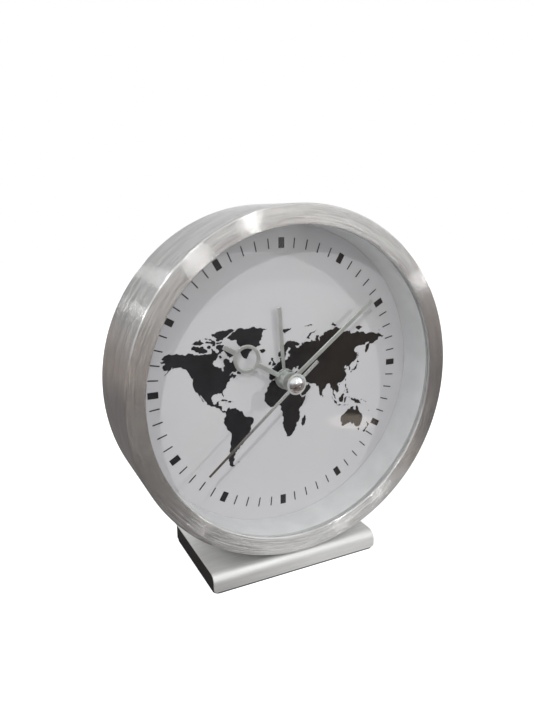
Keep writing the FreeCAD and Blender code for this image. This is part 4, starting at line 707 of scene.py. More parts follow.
class FinishShelf:
    """One material for each of the record's slots, and two that single pieces have instead."""

    FINISHES: tuple[Finish, ...] = (
        RoundBrushed("brushed_aluminium"),
        StraightBrushed("satin_aluminium", (0.76, 0.76, 0.75), 0.48, lean=0.14, along=(1.0, 0.0, 0.0)),
        ClearGlass("clear_glass"),
        Moulded("black_rubber", (0.012, 0.012, 0.012), 0.75, grain=0.06, pitch=3.0, level=0.3),
        Moulded("white_plastic", (0.66, 0.66, 0.665), 0.38, grain=0.006, pitch=2.0),
        DialPaint("dial_white"),
        PrintInk("print_black"),
        Moulded("black_plastic", (0.024, 0.023, 0.023), 0.4, grain=0.03, pitch=5.0),
        SatinMetal("hand_silver", (0.64, 0.66, 0.64), 0.29, grain=0.002, pitch=6.0, metal=0.72),
        PaintedReflectionStrip("hand_painted_reflection"),
        Moulded("core_black", (0.010, 0.009, 0.009), 0.5, grain=0.02, pitch=5.0, level=0.3),
        CapChrome("bright_chrome"),
        SatinMetal("steel", (0.56, 0.56, 0.57), 0.28, grain=0.003, pitch=4.0),
        Moulded("wheel_plastic", (0.72, 0.70, 0.64), 0.45, grain=0.01, pitch=5.0),
        SatinMetal("wheel_brass", (0.78, 0.56, 0.26), 0.26, grain=0.003, pitch=4.0),
        WoundWire("copper_wire"),
        CircuitLacquer("board_green"),
        CellSleeve("battery_label"),
        SatinMetal("magnet_grey", (0.20, 0.20, 0.21), 0.4, grain=0.008, pitch=5.0),
    )

    def __init__(self) -> None:
        """Makes every material once."""
        self.materials = {finish.name: finish.material() for finish in self.FINISHES}

    def dress(self, piece: bpy.types.Object, slot: str) -> None:
        """Gives a piece the finish of a slot.

        Args:
            piece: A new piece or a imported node's object.
            slot: The finish's name.
        """
        made = self.materials[slot]
        if not piece.material_slots:
            piece.data.materials.append(made)
        for held in piece.material_slots:
            held.material = made


# Surfaces

def rounded(corners: Sequence[Sequence[float]], steps: int = 5) -> np.ndarray:
    """Rounds the corners of a closed outline.

    The arc of a corner touches both sides at radius / tan(half the corner's angle) from it, and its
    points turn evenly about the centre on the corner's bisector.

    Args:
        corners: Two coordinates and a radius for each corner, in order.
        steps: Sides of each arc.

    Returns:
        The outline's points.
    """
    rows = np.asarray(corners, float)
    points, radii = rows[:, :2], np.maximum(rows[:, 2:], 1e-4)
    back = np.roll(points, 1, axis=0) - points
    ahead = np.roll(points, -1, axis=0) - points
    back /= np.linalg.norm(back, axis=1)[:, None]
    ahead /= np.linalg.norm(ahead, axis=1)[:, None]
    half = np.arccos(np.clip((back * ahead).sum(1), -1, 1))[:, None] / 2
    middle = back + ahead
    middle /= np.linalg.norm(middle, axis=1)[:, None]
    centre = points + middle * radii / np.sin(half)
    start = points + back * radii / np.tan(half) - centre
    end = points + ahead * radii / np.tan(half) - centre
    sweep = (np.pi - 2 * half)[:, :, None]
    share = np.linspace(0, 1, steps + 1)[None, :, None]
    arc = (np.sin((1 - share) * sweep) * start[:, None] + np.sin(share * sweep) * end[:, None])
    return (centre[:, None] + arc / np.sin(sweep)).reshape(-1, 2)


def inset(outline: np.ndarray, distance: float) -> np.ndarray:
    """Moves a closed outline inwards.

    Each point moves by distance along the mitre of its two sides' normals, which is their sum over
    one plus their dot product.

    Args:
        outline: Points in order, anticlockwise.
        distance: How far the sides move.

    Returns:
        The moved points.
    """
    side = np.roll(outline, -1, axis=0) - outline
    normal = np.stack([side[:, 1], -side[:, 0]], 1)
    normal /= np.maximum(np.linalg.norm(normal, axis=1), 1e-9)[:, None]
    before = np.roll(normal, 1, axis=0)
    mitre = (normal + before) / (1 + (normal * before).sum(1))[:, None]
    return outline - distance * mitre


class Surface:
    """Patches of points in millimetres, gathered into one mesh."""

    def __init__(self, name: str, smooth: float = 32.0) -> None:
        """Starts an empty surface.

        Args:
            name: The piece's name.
            smooth: Edges that turn by more than this many degrees stay sharp.
        """
        self.name = name
        self.smooth = smooth
        self.points: list[np.ndarray] = []
        self.faces: list[list[int]] = []
        self.count = 0

    def grid(self, points: np.ndarray, round_rows: bool = False, round_columns: bool = False) -> None:
        """Adds a grid of quads between neighbouring points.

        Args:
            points: Points, rows by columns by three.
            round_rows: Whether the last row joins the first.
            round_columns: Whether the last column joins the first.
        """
        rows, columns = points.shape[:2]
        row = np.arange(rows if round_rows else rows - 1)[:, None]
        column = np.arange(columns if round_columns else columns - 1)[None, :]
        below, right = (row + 1) % rows, (column + 1) % columns
        corners = (row * columns + column, below * columns + column, below * columns + right,
                   row * columns + right)
        quads = np.stack(np.broadcast_arrays(*corners), -1).reshape(-1, 4) + self.count
        self.faces += quads.tolist()
        self.points.append(points.reshape(-1, 3))
        self.count += rows * columns

    def lid(self, points: np.ndarray) -> None:
        """Closes a loop with one flat face.

        Args:
            points: The loop's points in order.
        """
        self.faces.append(list(range(self.count, self.count + len(points))))
        self.points.append(points)
        self.count += len(points)

    def loft(self, sections: np.ndarray) -> None:
        """Joins closed sections in order, and closes the first and the last.

        Args:
            sections: Points, sections by points by three.
        """
        self.grid(sections, round_columns=True)
        self.lid(sections[0])
        self.lid(sections[-1])

    def turn(self, profile: np.ndarray, centre: tuple[float, float], closed: bool = True,
             sides: int = 360, axis: str = "y") -> None:
        """Turns a profile of (radius, depth) pairs round an axis.

        A point goes to centre + radius (cos a, sin a) across the axis, and to its depth along it.

        Args:
            profile: Radius and depth of each point.
            centre: Where the axis crosses the plane across it.
            closed: Whether the profile's last point joins its first.
            sides: Steps round the axis.
            axis: "y" or "x".
        """
        angle = np.arange(sides) * 2 * np.pi / sides
        first = centre[0] + profile[:, :1] * np.cos(angle)
        second = centre[1] + profile[:, :1] * np.sin(angle)
        depth = np.broadcast_to(profile[:, 1:2], first.shape)
        order = (first, depth, second) if axis == "y" else (depth, first, second)
        self.grid(np.stack(order, -1), round_rows=closed, round_columns=True)

    def prism(self, outline: np.ndarray, low: float, high: float, edge: float,
              axis: str = "y") -> None:
        """Carries an outline along an axis, with its edges rounded by a quarter circle.

        Args:
            outline: Two coordinates of each point, anticlockwise.
            low: Where it starts along the axis.
            high: Where it ends.
            edge: Radius of the rounded edges.
            axis: "x", "y" or "z", the direction it is carried in.
        """
        sections = []
        for end, inwards in ((low, 1), (high, -1)):
            for turn in np.linspace(0, np.pi / 2, 4)[::inwards]:
                flat = inset(outline, edge * (1 - np.sin(turn)))
                along = np.full(len(flat), end + inwards * edge * (1 - np.cos(turn)))
                parts = [flat[:, 0], flat[:, 1]]
                parts.insert("xyz".index(axis), along)
                sections.append(np.stack(parts, -1))
        self.loft(np.stack(sections))

    def make(self) -> bpy.types.Object:
        """Makes the object, with its seams and poles welded and its faces outwards.

        Returns:
            The new object, linked to the scene.
        """
        mesh = bpy.data.meshes.new(self.name)
        mesh.from_pydata((np.concatenate(self.points) * MM).tolist(), [], self.faces)
        work = bmesh.new()
        work.from_mesh(mesh)
        bmesh.ops.remove_doubles(work, verts=work.verts, dist=WELD)
        bmesh.ops.dissolve_degenerate(work, edges=work.edges, dist=WELD)
        bmesh.ops.recalc_face_normals(work, faces=work.faces)
        work.to_mesh(mesh)
        work.free()
        mesh.shade_smooth()
        mesh.set_sharp_from_angle(angle=math.radians(self.smooth))
        piece = bpy.data.objects.new(self.name, mesh)
        bpy.context.scene.collection.objects.link(piece)
        return piece


@dataclass
class Dresser:
    """Hands each new piece its finish and its body, and hides the imported nodes that it stands for."""

    shelf: FinishShelf

    def piece(self, surface: Surface, body: str, slot: str, *replaced: str,
              finish: str = "") -> bpy.types.Object:
        """Makes a surface into a piece of the clock.

        Args:
            surface: The filled surface.
            body: The body that it rides on.
            slot: The record's slot of its finish.
            *replaced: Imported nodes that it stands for.
            finish: The finish, where it isn't the slot's own.

        Returns:
            The new object.
        """
        made = surface.make()
        self.shelf.dress(made, finish or slot)
        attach(made, body)
        if replaced:
            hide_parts(*replaced)
        LOG.info("%s: %d faces, rides on %s", made.name, len(made.data.polygons), body)
        return made


# Sub-assemblies

@dataclass
class Case:
    """Case ring, crystal and white inner wall, turned round the hands' axis."""

    radius: float = 59.98
    wall: float = 1.98
    front: float = -15.7
    back: float = 15.9
    opening: float = 53.4
    bezel: float = 1.2
    front_round: float = 0.5
    glass_radius: float = 56.4
    glass: float = 1.8
    inner_wall: float = 53.8
    inner_thickness: float = 1.4
    flange: float = 1.2
    fit_radius: float = 57.95
    ease: float = 0.1
    glass_edge: float = 0.15

    def build(self, dresser: Dresser) -> None:
        """Builds the three turned pieces.

        Args:
            dresser: What hands each piece its finish and its body.
        """
        centre = (LAYOUT.axis_x, LAYOUT.axis_z)
        depth = np.array([0.0, LAYOUT.dial_y])
        bezel_back = self.front + self.bezel
        glass_back = bezel_back + self.glass
        ease, bore = self.ease, self.radius - self.wall
        ring = Surface("case_ring_turned")
        ring.turn(rounded((
            (self.opening, self.front, self.front_round), (self.radius, self.front, self.front_round),
            (self.radius, self.back, 0.35), (bore, self.back, 0.25),
            (bore, bezel_back, 0.05), (self.opening, bezel_back, ease),
        ), 6) + depth, centre, sides=512)
        dresser.piece(ring, "case", "brushed_aluminium", "case_ring")
        glass = Surface("crystal_pane")
        edge, rim = self.glass_edge, self.glass_radius
        glass.turn(np.array([
            (0, bezel_back), (rim - edge, bezel_back), (rim, bezel_back + edge),
            (rim, glass_back - edge), (rim - edge, glass_back), (0, glass_back),
        ]) + depth, centre, closed=False, sides=256)
        dresser.piece(glass, "case", "clear_glass", "crystal")
        outer = self.inner_wall + self.inner_thickness
        wall = Surface("rehaut_wall")
        wall.turn(rounded((
            (self.inner_wall, glass_back, 0.15), (self.fit_radius, glass_back, ease),
            (self.fit_radius, glass_back + self.flange, ease), (outer, glass_back + self.flange, ease),
            (outer, -self.flange, ease), (self.fit_radius, -self.flange, ease),
            (self.fit_radius, 0.0, ease), (self.inner_wall, 0.0, 0.25),
        ), 4) + depth, centre, sides=360)
        dresser.piece(wall, "case", "white_plastic", "rehaut_ring")


@dataclass
class MapPrint:
    """The printed world map, with a coast that is ragged at every size."""

    rounds: int = 3
    longest: float = 0.5
    ragged: float = 0.2
    marks_radius: float = 45.0
    thickness: float = 0.05
    flatness: float = 0.01

    @staticmethod
    def outline(corners: np.ndarray, count: int) -> np.ndarray:
        """The edges of triangles that no other triangle runs the other way.

        Args:
            corners: Three point numbers for each triangle.
            count: How many points there are.

        Returns:
            Pairs of point numbers.
        """
        edges = np.concatenate([corners[:, [0, 1]], corners[:, [1, 2]], corners[:, [2, 0]]])
        forward = edges[:, 0] * count + edges[:, 1]
        backward = edges[:, 1] * count + edges[:, 0]
        return edges[~np.isin(forward, backward)]

    def coast(self) -> tuple[np.ndarray, np.ndarray]:
        """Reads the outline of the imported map's front face.

        Returns:
            The corner points (x, z) in millimetres, and the edges as pairs of their numbers.
        """
        mesh = frame["nodes"]["dial_map"].data
        mesh.calc_loop_triangles()
        place = np.empty(len(mesh.vertices) * 3)
        mesh.vertices.foreach_get("co", place)
        place = place.reshape(-1, 3) / MM
        corners = np.empty(len(mesh.loop_triangles) * 3, int)
        mesh.loop_triangles.foreach_get("vertices", corners)
        corners = corners.reshape(-1, 3)
        front = place[:, 1].min()
        corners = corners[(np.abs(place[corners][:, :, 1] - front) < self.flatness).all(1)]
        points, merged = np.unique(np.round(place[:, [0, 2]], 4), axis=0, return_inverse=True)
        return points, self.outline(merged.reshape(-1)[corners], len(points))

    def roughen(self, points: np.ndarray, edges: np.ndarray) -> tuple[np.ndarray, np.ndarray]:
        """Splits each long edge at its middle, moved sideways.

        The middle moves along the edge's normal by its length times a share that depends only on
        where it is. Edges beside the minute marks stay straight.

        Args:
            points: Points (x, z) in millimetres.
            edges: Pairs of their numbers.

        Returns:
            The new points and edges.
        """
        start, end = points[edges[:, 0]], points[edges[:, 1]]
        along = end - start
        length = np.hypot(along[:, 0], along[:, 1])
        middle = (start + end) / 2
        axis = np.array([LAYOUT.axis_x, LAYOUT.axis_z])
        split = (length > self.longest) & (np.hypot(*(middle - axis).T) < self.marks_radius)
        chance = np.sin(middle @ np.array([12.9898, 78.233])) * 43758.5453
        shift = (chance - np.floor(chance) - 0.5) * self.ragged * 2
        moved = middle + np.stack([along[:, 1], -along[:, 0]], 1) * shift[:, None]
        number = len(points) + np.arange(split.sum())
        first = np.stack([edges[split, 0], number], 1)
        second = np.stack([number, edges[split, 1]], 1)
        return np.concatenate([points, moved[split]]), np.concatenate([edges[~split], first, second])

    def build(self, dresser: Dresser) -> None:
        """Fills the ragged outline, and gives the print its thickness.

        Args:
            dresser: What hands each piece its finish and its body.
        """
        points, edges = self.coast()
        for _ in range(self.rounds):
            points, edges = self.roughen(points, edges)
        points, _, faces, *_ = delaunay_2d_cdt([Vector(point) for point in points.tolist()],
                                               edges.tolist(), [], 2, 1e-4)
        points, corners = np.array([tuple(point) for point in points]), np.array(faces)
        used, numbers = np.unique(corners, return_inverse=True)
        points, corners = points[used], numbers.reshape(-1, 3)
        edges = self.outline(corners, len(points))
        surface = Surface("dial_map_printed", 20.0)
        for depth in (LAYOUT.dial_y - self.thickness, LAYOUT.dial_y):
            surface.points.append(np.stack([points[:, 0], np.full(len(points), depth), points[:, 1]], 1))
        count = len(points)
        walls = np.concatenate([edges[:, ::-1], edges + count], 1)
        surface.faces = corners.tolist() + (corners[:, ::-1] + count).tolist() + walls.tolist()
        surface.count = 2 * count
        dresser.piece(surface, "case", "print_black", "dial_map")


@dataclass
class DialMarks:
    """The printed hour blocks and minute lines."""

    middle: float = 47.13
    block: tuple[float, float] = (2.2, 3.6)
    line: tuple[float, float] = (0.42, 3.5)
    thickness: float = 0.05
    minutes: int = 60
    minutes_per_block: int = 5

    def build(self, dresser: Dresser) -> None:
        """Builds sixty small boxes in one piece.

        Mark n is turned by 6 n degrees: its corner (w, r) goes to w (cos t, -sin t) + r (sin t, cos t)
        from the axis. Every fifth mark is a block.

        Args:
            dresser: What hands each piece its finish and its body.
        """
        number = np.arange(self.minutes)[:, None]
        turn = number * 2 * np.pi / self.minutes
        size = np.where(number % self.minutes_per_block == 0, self.block, self.line) / 2
        width = size[:, :1] * np.array([-1.0, 1.0, 1.0, -1.0])
        reach = self.middle + size[:, 1:] * np.array([-1.0, -1.0, 1.0, 1.0])
        x = LAYOUT.axis_x + width * np.cos(turn) + reach * np.sin(turn)
        z = LAYOUT.axis_z - width * np.sin(turn) + reach * np.cos(turn)
        surface = Surface("dial_markers_printed", 20.0)
        layers = [np.stack([x, np.full_like(x, depth), z], -1)
                  for depth in (LAYOUT.dial_y - self.thickness, LAYOUT.dial_y)]
        for front, back in zip(*layers):
            surface.loft(np.stack([front, back]))
        dresser.piece(surface, "case", "print_black", "dial_markers")


@dataclass
class Hand:
    """One hand: a blade with eased edges on a turned hub."""

    name: str
    body: str
    angle: float
    stand: float
    reach: float
    root_width: float
    tip_width: float
    hub_radius: float
    bore: float
    sheet: float = 0.35
    hub_length: float = 0.0
    collar_radius: float = 0.0
    tail: float = 0.0
    ease: float = 0.12
    finish: str = "hand_silver"

    def place(self, across: np.ndarray, along: np.ndarray, depth: np.ndarray) -> np.ndarray:
        """Turns the hand's own axes to its rest angle.

        Args:
            across: Distance to the right of the blade's middle line.
            along: Distance from the axis towards the tip.
            depth: Depth behind the dial's face.

        Returns:
            Points in the clock's frame.
        """
        turn = math.radians(self.angle)
        x = LAYOUT.axis_x + across * math.cos(turn) + along * math.sin(turn)
        z = LAYOUT.axis_z - across * math.sin(turn) + along * math.cos(turn)
        return np.stack(np.broadcast_arrays(x, LAYOUT.dial_y + depth, z), -1)

    def bar(self, surface: Surface, start: float, end: float, start_width: float,
            end_width: float) -> None:
        """Adds a straight strip whose front edges are eased.

        The section is the strip's half width and thickness with its two front corners cut at 45
        degrees, its width changes evenly along the blade, and the cut turns round the far end too.

        Args:
            surface: The hand's surface.
            start: Where it starts along the blade.
            end: Where it ends.
            start_width: Width at its start.
            end_width: Width at its end.
        """
        front, back, ease = -self.stand, self.sheet - self.stand, self.ease
        side = np.array([-1, -1, -1, 1, 1, 1.0])
        cut = np.array([0, 0, ease, ease, 0, 0])
        depth = np.array([back, front + ease, front, front, front + ease, back])
        lengths = np.array([start, end - ease, end])[:, None]
        width = np.interp(lengths[:, 0], (start, end), (start_width, end_width))[:, None] / 2
        trim = np.array([0, 0, ease])[:, None] * (depth < front + ease / 2)
        across = side * (width - cut)
        surface.loft(self.place(across, np.broadcast_to(lengths, across.shape), depth + trim))

    def hub_profile(self) -> np.ndarray:
        """Draws half of the hub's section.

        Returns:
            Radius and depth of a disc with an eased rim, and of a collar or tall body behind it.
        """
        front, back = -self.stand - 0.02, self.sheet - self.stand
        rim = [(self.bore, front, 0.02), (self.hub_radius, front, 0.12)]
        end = back + self.hub_length
        if self.collar_radius:
            rim += [(self.hub_radius, back, 0.03), (self.collar_radius, back, 0.02),
                    (self.collar_radius, end, 0.05)]
        else:
            rim.append((self.hub_radius, end, 0.06))
        return rounded(rim + [(self.bore, end, 0.02)], 3)

    def turned(self, surface: Surface, profile: np.ndarray, along: float = 0.0,
               sides: int = 128) -> None:
        """Adds a turned form.

        Args:
            surface: The hand's surface.
            profile: Radius of each point, and its depth behind the dial's face.
            along: Where its axis is along the blade.
            sides: Steps round its axis.
        """
        turn = math.radians(self.angle)
        centre = (LAYOUT.axis_x + along * math.sin(turn), LAYOUT.axis_z + along * math.cos(turn))
        surface.turn(profile + np.array([0.0, LAYOUT.dial_y]), centre, sides=sides)

    def blade(self, surface: Surface) -> None:
        """Adds the blade, and the tail where there is one.

        Args:
            surface: The hand's surface.
        """
        root = (self.bore + self.hub_radius) / 2
        self.bar(surface, root, self.reach, self.root_width, self.tip_width)
        if self.tail:
            self.bar(surface, -root, -self.tail, self.root_width, self.root_width)

    def build(self, dresser: Dresser) -> None:
        """Builds the hand in one piece.

        Args:
            dresser: What hands each piece its finish and its body.
        """
        surface = Surface(f"{self.name}_formed")
        self.blade(surface)
        self.turned(surface, self.hub_profile())
        dresser.piece(surface, self.body, "hand_silver", self.name, finish=self.finish)


@dataclass
class RingedHand(Hand):
    """The hour hand, which has a ring part of the way along."""

    ring_middle: float = 17.6
    ring_outer: float = 4.95
    ring_inner: float = 3.7

    def blade(self, surface: Surface) -> None:
        """Adds the bar on both sides of the ring, and the ring between them.

        Args:
            surface: The hand's surface.
        """
        root = (self.bore + self.hub_radius) / 2
        middle = (self.ring_outer + self.ring_inner) / 2
        width = self.root_width
        self.bar(surface, root, self.ring_middle - middle, width, width)
        self.bar(surface, self.ring_middle + middle, self.reach, width, self.tip_width)
        front, back, ease = -self.stand - 0.015, self.sheet - self.stand, self.ease
        self.turned(surface, rounded((
            (self.ring_inner, front, ease), (self.ring_outer, front, ease),
            (self.ring_outer, back, 0.02), (self.ring_inner, back, 0.02)), 3), self.ring_middle, 96)


@dataclass
class Hands:
    """The four hands and the bright cap."""

    cap_stand: float = 10.5
    cap_rim: float = 3.7
    cap_thickness: float = 0.35
    dome_radius: float = 3.0
    dome_height: float = 1.65

    def build(self, dresser: Dresser) -> None:
        """Builds each hand and the cap.

        Args:
            dresser: What hands each piece its finish and its body.
        """
        for hand in (
            Hand("alarm_hand", "alarm_train", angle=355.5, stand=2.0, reach=25.5, root_width=1.2,
                 tip_width=1.7, hub_radius=3.6, bore=2.42),
            RingedHand("hour_hand", "hour_train", angle=301.0, stand=3.5, reach=27.5, root_width=1.7,
                       tip_width=1.7, hub_radius=3.6, bore=1.72, hub_length=0.8, collar_radius=2.7),
            Hand("minute_hand", "minute_train", angle=52.4, stand=6.5, reach=42.1, root_width=1.6,
                 tip_width=1.6, hub_radius=3.3, bore=1.02, hub_length=2.3),
            Hand("second_hand", "second_train", angle=230.0, stand=self.cap_stand, reach=42.5,
                 root_width=1.25, tip_width=0.75, hub_radius=1.9, bore=0.42, sheet=0.25,
                 hub_length=1.8, tail=11.0, ease=0.08, finish="hand_painted_reflection"),
        ):
            hand.build(dresser)
        self.build_cap(dresser)

    def build_cap(self, dresser: Dresser) -> None:
        """Builds the cap: part of a sphere on a flat rim with rounded edges.

        The sphere's radius is the sum of the dome's radius and height, both squared, over twice the
        height, and the rim's edge is a half circle.

        Args:
            dresser: What hands each piece its finish and its body.
        """
        ball = (self.dome_radius ** 2 + self.dome_height ** 2) / (2 * self.dome_height)
        back = -self.cap_stand
        front = back - self.cap_thickness
        angle = np.linspace(0, math.asin(self.dome_radius / ball), 24)
        dome = np.stack([ball * np.sin(angle), front - self.dome_height + ball * (1 - np.cos(angle))], 1)
        quarter = np.linspace(0, np.pi / 2, 5)
        edge = self.cap_thickness / 2
        rim = np.stack([self.cap_rim - edge + edge * np.sin(quarter),
                        front + edge * (1 - np.cos(quarter))], 1)
        under = np.stack([rim[::-1, 0], 2 * (front + edge) - rim[::-1, 1]], 1)
        profile = np.concatenate([dome, rim, under, [(0.0, back)]])
        surface = Surface("second_hand_cap_domed", 20.0)
        surface.turn(profile + np.array([0.0, LAYOUT.dial_y]), (LAYOUT.axis_x, LAYOUT.axis_z),
                     closed=False, sides=96)
        dresser.piece(surface, "second_train", "bright_chrome", "second_hand_cap")


@dataclass
class Foot:
    """The folded sheet over the foot's core."""

    half_width: float = 32.2
    half_depth: float = 20.25
    low: float = 0.6
    top: float = 6.8
    sheet: float = 0.6
    bend: float = 3.2
    corner: float = 1.0
    ease: float = 0.1
    pad_inset: float = 0.15
    pad_corner: float = 2.0
    pad_edge: float = 0.12

    def fold(self, depth: float) -> np.ndarray:
        """One side of the sheet in depth and height: over the top, round the bend, down the front.

        Args:
            depth: How far inside the sheet's outer side it lies.

        Returns:
            The side's points.
        """
        front, top, bend = depth - self.half_depth, self.top - depth, self.bend - depth
        steps = np.linspace(0, np.pi / 2, 15)
        drop = np.linspace(top - bend, self.low, 16)[1:]
        return np.concatenate([
            [(self.half_depth, top)],
            np.stack([front + bend - bend * np.sin(steps), top - bend + bend * np.cos(steps)], 1),
            np.stack([np.full(len(drop), front), drop], 1)])

    def build(self, dresser: Dresser) -> None:
        """Builds the sheet: its outline in depth and height, carried from side to side.

        The outline goes forward over the top, round the bend and down the front, and comes back
        inside it. The half width is full except near the front's lower edge, where it follows a
        quarter circle, and each end is eased by a small quarter circle.

        Args:
            dresser: What hands each piece its finish and its body.
        """
        outer, inner = self.fold(0.0), self.fold(self.sheet)
        outline = np.concatenate([outer, inner[::-1]])
        left = np.clip(self.corner - (outline[:, 1] - self.low), 0, self.corner)
        half = self.half_width - self.corner + np.sqrt(self.corner ** 2 - left ** 2)
        middle = np.concatenate([(outer + inner) / 2, ((outer + inner) / 2)[::-1]])
        toward = (middle - outline) / np.linalg.norm(middle - outline, axis=1)[:, None]
        sections = []
        for side in (-1, 1):
            for turn in (np.array([0.0, 0.25, 0.5]) * np.pi)[::-side]:
                flat = outline + toward * self.ease * (1 - math.sin(turn))
                across = side * (half - self.ease * (1 - math.cos(turn)))
                sections.append(np.stack([across, flat[:, 0], flat[:, 1]], -1))
        surface = Surface("foot_shell_folded", 25.0)
        surface.grid(np.stack(sections), round_columns=True)
        count = len(outer)
        for end in (sections[0], sections[-1]):
            surface.grid(np.stack([end[:count], end[count:][::-1]]))
        dresser.piece(surface, "case", "satin_aluminium", "foot_shell")
        self.build_pad(dresser)

    def build_pad(self, dresser: Dresser) -> None:
        """Builds the soft pad: a rectangle with round corners, carried upwards.

        Args:
            dresser: What hands each piece its finish and its body.
        """
        # The pad is real. It reaches nearly to the sheet's edge, so its black edge also shows as a dark
        # line that stands in for the contact shadow under the foot.
        across, deep = self.half_width - self.pad_inset, self.half_depth - self.pad_inset
        pad = Surface("foot_pad_soft")
        corners = [(x * across, y * deep, self.pad_corner)
                   for x, y in ((-1, -1), (1, -1), (1, 1), (-1, 1))]
        pad.prism(rounded(corners, 8), 0.0, self.low, self.pad_edge, "z")
        dresser.piece(pad, "case", "black_rubber", "foot_pad")


@dataclass
class Knob:
    """A fluted setting knob with a dished face."""

    name: str
    body: str
    centre: tuple[float, float]
    radius: float
    front: float = 12.75
    thickness: float = 3.0
    rim: float = 1.3
    dish: float = 0.6
    flute: float = 0.45
    flutes: int = 30
    bore: float = 0.82
    ease: float = 0.3
    foot_edge: float = 0.15
    bore_depth: float = 1.0

    def build(self, dresser: Dresser) -> None:
        """Builds the knob as rows of rings, from the bore at the front to the dish's middle.

        The outer rings follow the flutes: within a flute, whose circle of radius g is centred on
        the rim R, the wall is at R cos d - sqrt(g^2 - (R sin d)^2) for the angle d from its middle.

        Args:
            dresser: What hands each piece its finish and its body.
        """
        sides = self.flutes * 16
        angle = np.arange(sides) * 2 * np.pi / sides
        step = 2 * np.pi / self.flutes
        offset = (angle + step / 2) % step - step / 2
        reach = self.flute ** 2 - (self.radius * np.sin(offset)) ** 2
        cut = self.radius * np.cos(offset) - np.sqrt(np.maximum(reach, 0))
        wall = np.where(reach > 0, cut, self.radius) - self.radius
        back = self.front + self.thickness
        dish = back - self.dish
        inner = self.radius - self.rim
        arc = np.linspace(0, np.pi / 2, 5)
        rows = [(self.bore, self.front, 0.0), (self.radius - self.foot_edge, self.front, 1.0),
                (self.radius, self.front + self.foot_edge, 1.0)]
        rows += [(self.radius - self.ease * (1 - math.cos(a)), back - self.ease * (1 - math.sin(a)), 1.0)
                 for a in arc]
        rows += [(self.radius - self.flute - self.ease - 0.1, back, 0.4), (inner + 0.12, back, 0.0),
                 (inner, back - 0.1, 0.0), (inner - 0.25, dish + 0.08, 0.0), (inner - 0.4, dish, 0.0),
                 (inner * 0.5, dish, 0.0), (0.0, dish, 0.0)]
        table = np.array(rows)
        ring = table[:, :1] + table[:, 2:] * wall
        points = np.stack([self.centre[0] + ring * np.cos(angle),
                           np.broadcast_to(table[:, 1:2], ring.shape),
                           self.centre[1] + ring * np.sin(angle)], -1)
        surface = Surface(f"{self.name}_fluted", 40.0)
        surface.grid(points, round_columns=True)
        floor = self.front + self.bore_depth
        bore = np.array([(self.bore, self.front), (self.bore, floor), (0.0, floor)])
        surface.turn(bore, self.centre, closed=False, sides=sides)
        dresser.piece(surface, self.body, "black_plastic", self.name)


@dataclass
class BackMarks:
    """Raised marks on the back: turning arrows, off and on marks, and the door's arrow."""

    face: float = 12.25
    height: float = 0.35
    door_face: float = 13.6
    stroke: float = 0.6
    head: float = 2.3
    reach: float = 2.0
    time_arrow: float = 8.6
    alarm_arrow: float = 7.4
    arc: tuple[float, float] = (55.0, 130.0)
    switch: tuple[float, float] = (-15.6, 90.9)
    travel: float = 4.0
    mark_radius: float = 0.95
    door_arrow: tuple[float, float] = (2.4, 43.6)
    sunk: float = 0.05
    edge: float = 0.06

    def turning(self, surface: Surface, centre: tuple[float, float], radius: float) -> None:
        """Adds an arc with an arrowhead over a knob.

        The arc's edges are at radius + and - half the stroke, and the head's tip is its reach
        further on along the circle.

        Args:
            surface: The marks' surface.
            centre: The knob's axis.
            radius: Middle of the arc's stroke.
        """
        angle = np.radians(np.linspace(*self.arc, 25))
        tip = angle[0] - self.reach / radius
        outer, inner = radius + self.stroke / 2, radius - self.stroke / 2
        radii = np.concatenate([[radius - self.head / 2, radius, radius + self.head / 2],
                                np.full(len(angle), outer), np.full(len(angle), inner)])
        turns = np.concatenate([[angle[0], tip, angle[0]], angle, angle[::-1]])
        outline = np.stack([centre[0] + radii * np.cos(turns), centre[1] + radii * np.sin(turns)], 1)
        surface.prism(outline, self.face - self.sunk, self.face + self.height, self.edge)

    def build(self, dresser: Dresser) -> None:
        """Builds the marks of the movement's cover, and those of the door.

        Args:
            dresser: What hands each piece its finish and its body.
        """
        marks = Surface("back_marks")
        self.turning(marks, TIME_KNOB, self.time_arrow)
        self.turning(marks, ALARM_KNOB, self.alarm_arrow)
        low, high = self.face - self.sunk, self.face + self.height
        outer, inner = self.mark_radius, self.mark_radius - self.stroke / 2
        marks.turn(np.array([(inner, low), (inner, high), (outer, high), (outer, low)]),
                   self.switch, sides=48)
        marks.turn(np.array([(0, low), (outer, low), (outer, high), (0, high)]),
                   (self.switch[0] + self.travel, self.switch[1]), closed=False, sides=48)
        dresser.piece(marks, "case", "black_plastic")
        right = np.array([(0, -1.6), (1.5, 0.1), (0.45, 0.1), (0.45, 1.7)])
        shape = np.concatenate([right, right[:0:-1] * (-1, 1)]) + self.door_arrow
        arrow = Surface("door_mark")
        arrow.prism(shape, self.door_face - self.sunk, self.door_face + self.height, self.edge)
        dresser.piece(arrow, "battery_door", "black_plastic")


class LampUse(Enum):
    """What a lamp is for."""

    LIGHT = "lights paint and casts shadows"
    GLINT = "is only mirrored"


